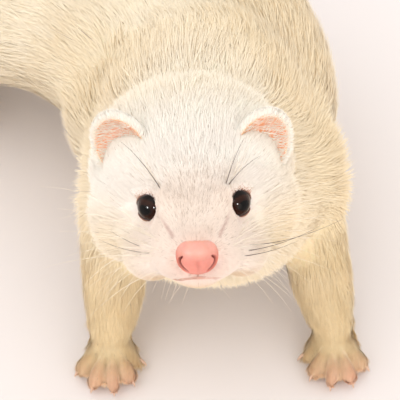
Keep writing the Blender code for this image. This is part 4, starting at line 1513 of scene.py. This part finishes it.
    def build(self, skin: bpy.types.Object, finishes: dict[Slot, bpy.types.Material]) -> list[bpy.types.Object]:
        """Makes every piece of the coat.

        Args:
            skin: The skin's object.
            finishes: The hair's material by slot.

        Returns:
            The pieces.
        """
        roots, lie = self.rooted(skin)
        fine = self.fine(lie)
        behind = ~fine
        brow = lie.head[:, 1] < -1
        groups = [
            ("coat_muzzle", fine & brow, TuftForm.FINE, Slot.FACE),
            ("coat_forehead", fine & ~brow, TuftForm.FINE, Slot.FACE),
            ("coat_crown", behind & (lie.part == 0), TuftForm.FINE, Slot.FACE),
        ]
        trunk = behind & (lie.part == 1)
        edges = (-0.01, 0.14, 0.3, 0.46, 0.62, 0.78, 1.01)
        words = ("throat", "shoulders", "back", "loins", "flanks", "haunches")
        for word, low, high in zip(words, edges, edges[1:]):
            which = trunk & (lie.fraction > low) & (lie.fraction <= high)
            groups.append(("coat_" + word, which, TuftForm.FINE, Slot.COAT))
        groups.append(("coat_tail", lie.part == 2, TuftForm.FINE, Slot.COAT))
        for k, word in enumerate(("foreleg_right", "foreleg_left", "hindleg_right", "hindleg_left")):
            groups.append(("coat_" + word, lie.part == 3 + k, TuftForm.FINE, Slot.COAT))
        made = []
        for name, which, form, slot in groups:
            most = self.most
            numbers = np.flatnonzero(which)
            for k, start in enumerate(range(0, len(numbers), most)):
                label = name if len(numbers) <= most else f"{name}_{k + 1}"
                piece = roots.picked(numbers[start : start + most]).grow(label, form)
                dress(piece, finishes[slot])
                made.append(piece)
        LOG.info("coat: %d tufts", len(roots.points))
        return made


# ---------------------------------------------------------------- eyes


@dataclass
class Eyes:
    """Both eyes: ball with its cornea, and the rims of the lids.

    Attributes:
        coat_map: The lie of the coat, for the head's axes.
        markings: The coat's colours.
        wide: Half width of the opening.
        tall: Half height of the opening.
        rise: How far its middle lies above the line of sight.
        corner: How far the inner corner draws out towards the nose.
    """

    coat_map: CoatMap
    markings: Markings
    wide: float = 3.9
    tall: float = 3.35
    rise: float = 0.4
    corner: float = 0.12

    def turn(self, side: Side) -> Matrix:
        """The eye's axes in the frame: across to the animal's left, along the gaze, and up."""
        stance, axes = self.coat_map.stance, self.coat_map.axes
        return axes.turn @ facing(stance.gaze(side), Vector((0, 0, 1)))

    def build(self, skin: bpy.types.Object, finishes: tuple[bpy.types.Material, ...]) -> None:
        """Makes both eyes and their lids.

        Args:
            skin: The skin, which the lids meet.
            finishes: The materials of the eye, the lids and their hair.
        """
        wet, rim, hair = finishes
        bpy.context.view_layer.update()
        surface = BVHTree.FromObject(skin, bpy.context.evaluated_depsgraph_get())
        for side in Side:
            self.add_ball(side, wet)
            self.add_fringe(side, self.add_lids(side, surface, rim), hair)

    def add_ball(self, side: Side, finish: bpy.types.Material) -> None:
        """Makes the ball, with the cornea standing out from it."""
        stance, axes = self.coat_map.stance, self.coat_map.axes
        centre = axes.point(*stance.eye_centre(side))
        turn = self.turn(side)
        pole = turn @ Matrix.Rotation(math.radians(90), 3, "X")
        radius = stance.eye_radius
        made = ball("eyeball_" + side.word, centre, (radius,) * 3, pole, 72, 48)
        points = places_of(made.data) - np.array(centre)
        local = points @ np.array(turn) / MM
        angle = np.arccos(np.clip(local[:, 1] / radius, -1, 1))
        bulge = 1 + 0.045 * (1 - ease(angle, 0.25, 0.75))
        moved = np.array(centre) + points * bulge[:, None]
        made.data.vertices.foreach_set("co", moved.astype(np.float32).ravel())
        layer = made.data.attributes.new("eye_place", "FLOAT_VECTOR", "POINT")
        flat = np.stack([local[:, 0], local[:, 2], np.maximum(-local[:, 1], 0)], 1)
        layer.data.foreach_set("vector", flat.astype(np.float32).ravel())
        made.data.update()
        dress(made, finish, ["eye_" + side.word])

    def add_lids(self, side: Side, surface: BVHTree, finish: bpy.types.Material) -> bpy.types.Object:
        """Makes the egg-shaped rim of the lids, from the ball out to the skin.

        Args:
            side: Which eye.
            surface: The skin, which the rim meets.
            finish: The lids' material.

        Returns:
            The lids.
        """
        stance, axes = self.coat_map.stance, self.coat_map.axes
        centre = axes.point(*stance.eye_centre(side))
        turn, radius, count = self.turn(side), stance.eye_radius, 72
        rings: list[list[Vector]] = [[] for _ in range(7)]
        for k in range(count):
            theta = 2 * math.pi * k / count
            across, up = math.cos(theta) * (1 - 0.27 * math.sin(theta)), math.sin(theta)
            inner = math.atan2(-0.42, side.value)
            off = (theta - inner + math.pi) % (2 * math.pi) - math.pi
            draw = 1 + self.corner * math.exp(-((off / 0.3) ** 2))
            flat = Vector((self.wide * across * draw, 0, self.tall * up * draw + self.rise))
            edge = math.asin(min(0.95, flat.length / radius))
            flat.normalize()
            last = max(1.34, edge + 0.26)
            ray = turn @ (flat * math.sin(last) + Vector((0, math.cos(last), 0)))
            hit = surface.ray_cast(centre + ray * 3.0 * MM, ray, 6.0 * MM)[0]
            skin = (hit - centre).length / MM if hit is not None else 5.0
            crest = min(4.92, 0.5 * (skin + 4.9)) - 0.14 * math.exp(-((off / 0.5) ** 2))
            steps = (
                (edge - 0.04, 4.5),
                (edge - 0.01, 4.62),
                (edge + 0.02, 4.76),
                (edge + 0.07, crest),
                (0.55 * edge + 0.45 * last, max(crest, 0.5 * (crest + skin))),
                (last, skin + 0.05),
                (last + 0.14, skin - 0.5),
            )
            for ring, (angle, reach) in zip(rings, steps):
                way = flat * math.sin(angle) + Vector((0, math.cos(angle), 0))
                ring.append(centre + turn @ way * reach * MM)
        points = np.array([tuple(p) for ring in rings for p in ring])
        r, s = np.meshgrid(np.arange(len(rings) - 1), np.arange(count), indexing="ij")
        n = (s + 1) % count
        faces = np.stack([r * count + s, r * count + n, (r + 1) * count + n, (r + 1) * count + s], -1)
        made = new_object("eyelids_" + side.word, mesh_of("eyelids", points, faces.reshape(-1, 4)))
        tones = ("#2E1814", "#3E211B", "#7A4A34", "#C79C84", "#E8D0BE", "#F3E2D4", "#F6E8DC")
        colours = np.repeat(np.array([linear(t) for t in tones]), count, axis=0)
        paint(made.data, colours)
        thick = made.modifiers.new("thick", "SUBSURF")
        thick.levels = thick.render_levels = 1
        settle(made)
        made.data.shade_smooth()
        dress(made, finish)
        return made

    def add_fringe(self, side: Side, lids: bpy.types.Object, finish: bpy.types.Material) -> None:
        """Roots very short fur on the lids' outer band, lying away from the eye."""
        stance, axes = self.coat_map.stance, self.coat_map.axes
        centre, turn = np.array(axes.point(*stance.eye_centre(side))), np.array(self.turn(side))

        def out(points: np.ndarray) -> np.ndarray:
            local = (points - centre) @ turn / MM
            return np.hypot(local[:, 0] / self.wide, local[:, 2] / self.tall)

        number = np.where(out(places_of(lids.data)) > 1.1, 34.0, 0.0)
        rng = np.random.default_rng(61 + side.value)
        points, normals = scattered(lids.data, number, rng)
        lie = self.coat_map.read(points)
        count = len(points)
        away = unit(points - centre - (points - centre) @ turn[:, 1:2] * turn[:, 1])
        flow = turned(lie.flow * 0.6 + away, normals, 0.15 * rng.normal(size=count))
        length = rng.uniform(1.0, 1.7, count) * ease(out(points), 0.9, 1.5)
        colours = self.markings.colours(points, lie, self.coat_map) * (1 + 0.03 * rng.normal(size=count))[:, None]
        lift = rng.uniform(8, 22, count)
        roots = Roots(points, normals, flow, length, np.full(count, 0.12), lift, colours, lie.unwrap)
        dress(roots.grow("coat_lids_" + side.word, TuftForm.FINE, 0.12), finish)


# ---------------------------------------------------------------- ears


@dataclass
class Ears:
    """Both ears: a thin cupped shell, furred behind and along its rim, pink within.

    Attributes:
        coat_map: The lie of the coat, for the head's axes.
        markings: The coat's colours.
        shell: Half width, half thickness and half height of the shell.
        cup: The same of its hollow.
        cup_shift: How far the hollow lies ahead of the shell.
        roots: The middle of each ear's root on the head.
        turns: How far each ear turns out.
    """

    coat_map: CoatMap
    markings: Markings
    shell: tuple[float, float, float] = (8.0, 4.2, 11.0)
    cup: tuple[float, float, float] = (7.1, 5.6, 10.2)
    cup_shift: float = 4.0
    rise: tuple[float, float, float] = (0.50, 0.35, 0.79)
    face: tuple[float, float, float] = (0.0, -0.912, 0.406)

    def seat(self, side: Side) -> tuple[Vector, Vector, Vector]:
        """The ear's root, and the ways it rises and looks, in the head's axes."""
        place = Vector((18.0, 19.6, 7.8)) if side is Side.RIGHT else Vector((18.4, 18.8, 6.8))
        angle = math.radians(20.0 if side is Side.RIGHT else 13.0)
        rise = Vector((side.value * self.rise[0], *self.rise[1:])).normalized()
        face = Vector(self.face).normalized()
        out = face.cross(rise).normalized()
        if out.x * side.value < 0:
            out.negate()
        look = face * math.cos(angle) + out * math.sin(angle)
        return Vector((side.value * place.x, place.y, place.z)), rise, look

    def build(self, skin: bpy.types.Material, hair: bpy.types.Material) -> None:
        """Makes both ears with their fur.

        Args:
            skin: The ear skin's material.
            hair: The hair's material.
        """
        for side in Side:
            axes = self.coat_map.axes
            root, rise, look = self.seat(side)
            turn = axes.turn @ facing(look, rise)
            made = ball("ear_shell_" + side.word, axes.point(*root), self.shell, turn, 48, 32)
            cup = ball("cup", axes.point(*(root + look * self.cup_shift)), self.cup, turn, 48, 32)
            carved(made, cup)
            melted(made, 0.42, 2)
            local = (places_of(made.data) - np.array(axes.point(*root))) @ np.array(turn) / MM
            inner = self.within(local)
            colours = mixed(np.zeros((len(local), 3)), "#F6DCC6", np.ones(len(local)))
            depth = ease(-(local[:, 1]), -3.0, 3.0)
            out = np.hypot(local[:, 0] / self.shell[0], local[:, 2] / self.shell[2])
            colours = mixed(colours, "#FFBE90", inner * 0.95)
            colours = mixed(colours, "#F69C70", inner * 0.75 * depth)
            colours = mixed(colours, "#FBEBDD", 0.95 * ease(out, 0.82, 0.95))
            paint(made.data, colours)
            dress(made, skin, ["ear_" + side.word])
            self.add_fur(side, made, local, inner, turn, hair)

    def within(self, local: np.ndarray) -> np.ndarray:
        """1 for the points on the hollow's side of the shell, and 0 for the others."""
        cup = np.linalg.norm((local - (0, self.cup_shift, 0)) / self.cup, axis=1)
        shell = np.linalg.norm(local / self.shell, axis=1)
        return (np.abs(cup - 1) * 8 < np.abs(shell - 1) * 8 + 0.1).astype(float)

    def add_fur(
        self,
        side: Side,
        shell: bpy.types.Object,
        local: np.ndarray,
        inner: np.ndarray,
        turn: Matrix,
        finish: bpy.types.Material,
    ) -> None:
        """Furs the ear: close outside and along the rim, a few long hairs within.

        Args:
            side: Which ear.
            shell: The ear's object.
            local: Its points in the ear's axes.
            inner: 1 on the hollow's side.
            turn: The ear's axes in the frame.
            finish: The hair's material.
        """
        rng = np.random.default_rng(31 + side.value)
        rim = ease(np.hypot(local[:, 0] / self.shell[0], local[:, 2] / self.shell[2]), 0.8, 0.95)
        number = np.where(inner > 0.5, 3.6 + 22.0 * rim, 24.0)
        points, normals = scattered(shell.data, number, rng)
        root = np.array(self.coat_map.axes.point(*self.seat(side)[0]))
        place = (points - root) @ np.array(turn) / MM
        within = self.within(place) > 0.5
        count = len(points)
        radial = unit(np.stack([place[:, 0] / self.shell[0], np.zeros(count), place[:, 2] / self.shell[2]], 1))
        outward = np.where(within[:, None], (0.0, 0.35, 0.5), (0.0, 0.0, 0.75)) + radial * 0.8
        edge0 = ease(np.hypot(place[:, 0] / self.shell[0], place[:, 2] / self.shell[2]), 0.66, 0.9)
        # the long hairs of the hollow start at its inner edge and lean out across it
        across = np.stack([np.full(count, -0.8 * side.value), np.full(count, 0.5), np.full(count, 0.5)], 1)
        crossing = within & (rng.random(count) < 0.85 - 0.5 * edge0)
        outward = np.where(crossing[:, None], across, outward)
        flow = turned(unit(outward) @ np.array(turn).T, normals, 0.16 * rng.normal(size=count))
        edge = ease(np.hypot(place[:, 0] / self.shell[0], place[:, 2] / self.shell[2]), 0.66, 0.9)
        length = np.where(within, rng.uniform(2.2, 5.0, count), rng.uniform(1.7, 2.7, count))
        length = length * np.where(within, 1 - 0.45 * edge, 1.0)
        lift = np.where(within, 30.0, 17.0) * rng.uniform(0.5, 1.4, count)
        colours = mixed(np.zeros((count, 3)), self.markings.crown, np.ones(count))
        colours = mixed(colours, "#FFF3E4", np.where(within, 0.6, 0.1))
        colours = colours * (1 + 0.03 * rng.normal(size=count))[:, None]
        width = np.where(within, 0.13, 0.19) * rng.uniform(0.8, 1.2, count)
        u = 0.5 + 0.24 * (side.value + 1) / 2 * 2 + 0.01 + 0.22 * (place[:, 0] / self.shell[0] * 0.5 + 0.5)
        v = 0.345 + 0.15 * (place[:, 2] / self.shell[2] * 0.5 + 0.5)
        unwrap = np.clip(np.stack([u, v], 1), 0.003, 0.997)
        roots = Roots(points, normals, flow, length, width, lift, colours, unwrap)
        dress(roots.grow("coat_ear_" + side.word, TuftForm.FINE, 0.15), finish)


# ---------------------------------------------------------------- nose and mouth


@dataclass
class Nose:
    """The bare nose pad with comma-shaped nostrils and the furrow below it; both are shallow dents with painted shade.
    """

    coat_map: CoatMap
    size: tuple[float, float, float] = (11.6, 10.0, 9.0)
    level: float = -6.0
    nostril: tuple[tuple[float, float, float], ...] = (
        (0.22, -0.28, 0.3),
        (0.28, -0.25, 0.8),
        (0.35, -0.17, 0.85),
        (0.405, -0.04, 0.7),
        (0.405, 0.08, 0.5),
        (0.34, 0.17, 0.3),
    )
    furrow: tuple[tuple[float, float], ...] = ((0.05, -0.03), (-0.12, -0.02), (-0.3, 0.02), (-0.48, 0.12), (-0.66, 0.3))

    def place(self, across: float, up: float, back: float) -> Vector:
        """A point of the pad, given as shares of its width, height and depth."""
        wide, tall, deep = self.size
        return self.coat_map.axes.point(across * wide, -self.coat_map.nose_reach + deep * back, self.level + tall * up)

    def build(self, finish: bpy.types.Material) -> bpy.types.Object:
        """Makes the pad.

        Args:
            finish: The moist skin's material.

        Returns:
            The pad, which replaces the nose's solid.
        """
        wide, tall, deep = self.size
        turn = self.coat_map.axes.turn
        pieces = [ball("pad", self.place(0, 0, 0.5), (wide / 2, deep / 2, tall / 2), turn, 40, 28)]
        pieces.append(ball("top", self.place(0, 0.21, 0.42), (wide * 0.43, deep * 0.44, tall * 0.34), turn, 32, 20))
        for sign in (-1, 1):
            radii = (wide * 0.26, deep * 0.4, tall * 0.39)
            pieces.append(ball("wing", self.place(sign * 0.235, 0.04, 0.5), radii, turn, 32, 20))
        made = melted(joined("nose_pad", pieces), 0.26, 3)
        bpy.context.view_layer.update()
        surface = BVHTree.FromObject(made, bpy.context.evaluated_depsgraph_get())
        shapes = []
        for sign in (-1, 1):
            rows = []
            for across, up, radius in self.nostril:
                ahead, way = self.place(sign * across, up, -1.0), self.coat_map.axes.way(0, 1, 0)
                spot = surface.ray_cast(ahead, way)[0]
                rows.append((*spot, radius * 0.8 * MM))
            shapes.append(rows)
        points, normals = places_of(made.data), normals_of(made.data)
        colours = mixed(np.zeros((len(points), 3)), "#E29183", np.ones(len(points)))
        local = self.coat_map.axes.local(points)
        upper = ease(local[:, 2], self.level, self.level + 4)
        rim = np.hypot(local[:, 0] / (wide / 2), (local[:, 2] - self.level) / (tall / 2))
        colours = mixed(colours, "#DF806D", 0.6 * ease(rim, 0.55, 1.0))
        colours = mixed(colours, "#EFB5A6", 0.7 * upper)
        press = np.zeros(len(points))
        for rows in shapes:
            table = smooth_rows(rows, 6)
            gap = np.linalg.norm(points[:, None] - table[None, :, :3], axis=2)
            share = np.exp(-((gap / (table[None, :, 3] * 1.05)) ** 4)).max(axis=1)
            press = np.maximum(press, share * 1.15 * MM)
            # The nostrils are shallow dents painted dark red-brown: painted shade of the openings over the lining's own
            # red.
            colours = mixed(colours, "#7E2E26", 0.97 * np.clip(share * 1.3, 0, 1))
        groove = smooth_rows([(*self.place(0.0, u, b), 0.42 * MM) for u, b in self.furrow], 6)
        gap = np.linalg.norm(points[:, None] - groove[None, :, :3], axis=2)
        share = np.exp(-((gap / 0.5 / MM) ** 2)).max(axis=1)
        press = np.maximum(press, share * 0.35 * MM)
        # The furrow is painted a darker pink: painted shade in the shallow crease.
        colours = mixed(colours, "#C9776A", 0.7 * share)
        made.data.vertices.foreach_set("co", (points - normals * press[:, None]).astype(np.float32).ravel())
        made.data.update()
        paint(made.data, colours)
        dress(made, finish, ["nose"])
        return made


@dataclass
class Mouth:
    """The closed lips and the furrow from the nose to them."""

    coat_map: CoatMap
    line: tuple[tuple[float, float, float], ...] = (
        (0.0, -16.2, -11.4),
        (2.6, -15.7, -11.5),
        (4.6, -14.7, -11.7),
        (6.2, -13.6, -12.0),
    )

    def build(self, skin: bpy.types.Object, finish: bpy.types.Material) -> None:
        """Makes the lips' edges as one slim piece laid on the skin."""
        bpy.context.view_layer.update()
        surface = BVHTree.FromObject(skin, bpy.context.evaluated_depsgraph_get())
        axes = self.coat_map.axes
        half = smooth_rows(self.line, 5)
        full = [(-x, y, z) for x, y, z in half[:0:-1]] + [tuple(p) for p in half]
        shapes = []
        for lower in (False, True):
            rows = []
            for x, y, z in full:
                fade = 1 - 0.6 * abs(x) / self.line[-1][0]
                drop = -0.3 if lower else 0.1
                spot = surface.find_nearest(axes.point(x * (0.9 if lower else 1.0), y, z + drop))[0]
                rows.append((*(spot + axes.way(0, -1, -0.2) * 0.3 * MM), 0.19 * fade * MM))
            rows[0] = (*rows[0][:3], 0.02 * MM)
            rows[-1] = (*rows[-1][:3], 0.02 * MM)
            shapes.append(rows)
        rows = []
        for z, y in ((-8.2, -18.2), (-9.4, -17.6), (-10.6, -16.8), (-11.4, -16.2)):
            spot = surface.find_nearest(axes.point(0.0, y, z))[0]
            rows.append((*(spot + axes.way(0, -1, 0) * 0.25 * MM), 0.2 * MM))
        shapes.append(rows)
        made = tubes("lips", shapes, 8, 2)
        tone = np.tile(np.array(linear("#DCA899")), (len(made.data.vertices), 1))
        paint(made.data, tone)
        dress(made, finish)


# ---------------------------------------------------------------- claws and whiskers


@dataclass
class Claws:
    """Twenty claws, each curved down from the tip of its toe."""

    coat_map: CoatMap
    rows: tuple[tuple[float, float, float], ...] = (
        (-2.2, 3.4, 0.3),
        (-1.0, 3.5, 0.52),
        (0.2, 3.2, 0.56),
        (1.1, 2.6, 0.45),
        (1.8, 1.7, 0.26),
        (2.0, 1.1, 0.06),
    )

    def build(self, finish: bpy.types.Material) -> None:
        """Makes the claws as one piece."""
        shapes = []
        for paw in self.coat_map.figure.paws():
            for tip, way, radius in paw.toe_ways():
                base = tip + self.coat_map.shift
                shapes.append([(*((base + way * a) * (1, 1, 0) + (0, 0, h)) * MM, r * MM) for a, h, r in self.rows])
        shapes = [[tuple(map(float, row)) for row in rows] for rows in shapes]
        made = tubes("claws", shapes, 10, 3)
        dress(made, finish)


@dataclass
class Whiskers:
    """Whiskers of the muzzle and brows: long tapered bristles, some dark and most pale.

    Attributes:
        coat_map: The lie of the coat, for the head's axes.
        dark: Root and tip of each dark bristle in the head's axes, and its sag.
        thickness: The width at the root.
    """

    coat_map: CoatMap
    dark: tuple[tuple[tuple[float, float, float], tuple[float, float, float], float], ...] = (
        ((-8.5, -10.5, -7.0), (-25.5, -4.0, -6.0), -1.5),
        ((-9.0, -8.5, -8.0), (-22.0, -3.0, -4.5), -1.0),
        ((11.0, -8.0, -7.5), (39.0, -2.0, -4.5), -2.0),
        ((10.5, -9.5, -8.5), (33.0, -4.0, -5.0), -1.5),
        ((10.0, -11.0, -9.0), (27.0, -6.0, -8.0), -1.0),
        ((-8.6, 1.5, 5.2), (-18.5, 6.0, 17.5), 1.4),
        ((8.4, 1.5, 5.2), (14.0, 6.0, 17.0), 1.2),
        ((9.2, 2.2, 5.0), (18.0, 4.0, 12.5), 1.0),
    )
    thickness: float = 0.24

    def bristle(self, root: Sequence[float], tip: Sequence[float], sag: float, wide: float) -> list[tuple[float, ...]]:
        """Stations of one bristle, in metres.

        Args:
            root: Its root in the head's axes.
            tip: Its tip.
            sag: How far its middle lies above the straight line.
            wide: Its width at the root.

        Returns:
            Rows of x, y, z and radius.
        """
        a, b = np.array(root), np.array(tip)
        rows = []
        for t in (0.0, 0.2, 0.45, 0.7, 0.88, 1.0):
            spot = a + (b - a) * t
            spot[2] += sag * 4 * t * (1 - t)
            point = self.coat_map.axes.point(*spot)
            point.z = max(point.z, 0.5 * MM)
            rows.append((*point, wide / 2 * (1 - 0.82 * t) * MM))
        return rows

    def build(self, dark: bpy.types.Material, pale: bpy.types.Material) -> None:
        """Makes the dark bristles as one piece and the pale ones as another."""
        shapes = [self.bristle(a, b, sag, self.thickness) for a, b, sag in self.dark]
        dress(tubes("whiskers_dark", shapes, 6, 4), dark)
        rng = np.random.default_rng(5)
        shapes = []
        for side in (-1, 1):
            for row in range(5):
                for k in range(5):
                    back = -12.0 + 2.2 * k + 0.5 * rng.normal()
                    up = -6.0 - 1.35 * row + 0.4 * rng.normal()
                    out = 7.0 + 0.9 * k + 0.25 * row
                    reach = rng.uniform(19, 33) * (1.12 - 0.06 * row)
                    way = unit(np.array((side * rng.uniform(0.8, 1.0), 0.1 + 0.08 * k, 0.2 - 0.3 * row)))
                    root = np.array((side * out, back, up))
                    shapes.append(self.bristle(root, root + way * reach, rng.uniform(2.0, 4.6), 0.18))
            for k in range(5):
                root = np.array((side * (8.0 + 0.9 * k), 1.6 + 0.8 * k, 5.2))
                way = unit(np.array((side * rng.uniform(0.2, 0.9), 0.4, rng.uniform(0.7, 1.0))))
                shapes.append(self.bristle(root, root + way * rng.uniform(9, 15), 0.8, 0.14))
            for k in range(6):
                root = np.array((side * (1.5 + 1.5 * k), -12.5 + 1.2 * k, -15.0))
                way = unit(np.array((side * rng.uniform(0.1, 0.6), 0.25, -0.9)))
                shapes.append(self.bristle(root, root + way * rng.uniform(6, 11), 0.6, 0.13))
        dress(tubes("whiskers_pale", shapes, 5, 3), pale)


# ---------------------------------------------------------------- studio


@dataclass(frozen=True)
class Studio:
    """Floor, light and the photograph's camera.

    Attributes:
        elevation: The camera's height over the horizon as seen from the eyes, in degrees.
        distance: Its distance from the eyes, in metres.
        scale: Picture points a millimetre at the eyes.
        target: Where the eyes' midpoint lies in the picture.
    """

    elevation: float = 48.0
    distance: float = 0.5
    scale: float = 3.76
    target: tuple[float, float] = (194.0, 204.0)
    frame: float = 400.0

    def build(self, middle: Vector, floor_finish: bpy.types.Material) -> None:
        """Sets the stage.

        Args:
            middle: The midpoint of the eyes' balls, in metres.
            floor_finish: The floor's material.
        """
        half = 4.0
        corners = np.array([(-half, -half, 0), (half, -half, 0), (half, half, 0), (-half, half, 0)], float)
        floor = new_object("floor", mesh_of("floor", corners, np.array([[0, 1, 2, 3]])))
        floor.data.materials.append(floor_finish)
        self.add_camera(middle)
        self.add_light(middle)

    def add_camera(self, middle: Vector) -> None:
        """Places the camera."""
        angle = math.radians(self.elevation)
        away = Vector((0, -math.cos(angle), math.sin(angle)))
        data = bpy.data.cameras.new("camera")
        camera = new_object("camera", data)
        right = Vector((1, 0, 0))
        camera.location = middle + away * self.distance
        camera.rotation_euler = Matrix((right, away.cross(right), away)).transposed().to_euler()
        data.sensor_width = 36.0
        data.lens = self.scale * self.distance / MM * data.sensor_width / self.frame
        data.shift_x = (self.frame / 2 - self.target[0]) / self.frame
        data.shift_y = (self.target[1] - self.frame / 2) / self.frame
        data.clip_start, data.clip_end = 0.01, 20.0
        bpy.context.scene.camera = camera

    def add_light(self, middle: Vector) -> None:
        """A white room with a broad key from the upper left, and a glint for each eye."""
        scene = bpy.context.scene
        scene.view_settings.view_transform = "Standard"
        world = bpy.data.worlds.new("room")
        world.use_nodes = True
        sky = world.node_tree.nodes["Background"]
        sky.inputs["Color"].default_value = (*linear("#FFFDFA"), 1.0)
        sky.inputs["Strength"].default_value = 1.06
        scene.world = world
        lamps = (
            ("key", (-0.75, -0.45, 1.05), 1.9, 4.7, "#FFFAF4"),
            ("fill", (0.5, -0.9, 0.25), 0.8, 2.1, "#FFEFDC"),
            ("catch_right", (-0.236, -0.213, 0.173), 0.08, 1.0, "#FFFFFF"),
            ("catch_left", (0.069, -0.272, 0.22), 0.06, 0.6, "#FFFFFF"),
        )
        for name, place, size, power, code in lamps:
            data = bpy.data.lights.new(name, "AREA")
            data.shape = "DISK"
            data.size = size
            data.energy = power
            data.color = linear(code)
            lamp = new_object(name, data)
            lamp.location = middle + Vector(place)
            lamp.visible_diffuse = not name.startswith("catch")
            lamp.rotation_euler = (middle - lamp.location).to_track_quat("-Z", "Y").to_euler()


def main() -> None:
    """Builds the ferret piece by piece and sets its stage."""
    logging.basicConfig(level=logging.INFO, format="%(name)s %(message)s")
    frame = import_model()
    stance, figure, markings = Stance(), Figure(), Markings()
    coat_map = CoatMap(stance, figure)
    hair = KeratinHair("cream guard hair", 0.62, 1.55).build()
    white_hair = KeratinHair("white face hair", 0.58, 1.55).build()
    furred = FurredSkin("underfur on skin", 0.8, 1.4).build()
    moist = BareSkin("moist nose leather", 0.46, 1.4, relief=0.05, moist=0.06).build()
    lips = BareSkin("bare lid and lip skin", 0.42, 1.4, cell=0.3, relief=0.04, moist=0.35).build()
    ear = BareSkin("ear skin", 0.6, 1.4, cell=0.8, relief=0.05, moist=0.0, depth=0.45).build()
    wet = WetEye("wet dark eye", 0.12, 1.38).build()
    horn = Horn("claw horn", 0.38, 1.55).build()
    dark_bristle = Horn("dark whisker keratin", 0.45, 1.55, "#4A3A30", "#6B5546").build()
    pale_bristle = Horn("pale whisker keratin", 0.4, 1.55, "#FFF6E8", "#E6D3B8").build()
    skin = Skin(coat_map, markings).build(frame["nodes"], furred)
    Coat(coat_map, markings).build(skin, {Slot.COAT: hair, Slot.FACE: white_hair})
    Eyes(coat_map, markings).build(skin, (wet, lips, white_hair))
    Ears(coat_map, markings).build(ear, white_hair)
    Nose(coat_map).build(moist)
    Mouth(coat_map).build(skin, lips)
    Claws(coat_map).build(horn)
    Whiskers(coat_map).build(dark_bristle, pale_bristle)
    balls = [(low + high) / 2 for low, high in (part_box("eye_left"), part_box("eye_right"))]
    Studio().build((balls[0] + balls[1]) / 2, PaleFloor("studio sheet", 0.9, 1.45).build())


if __name__ == "__main__":
    main()
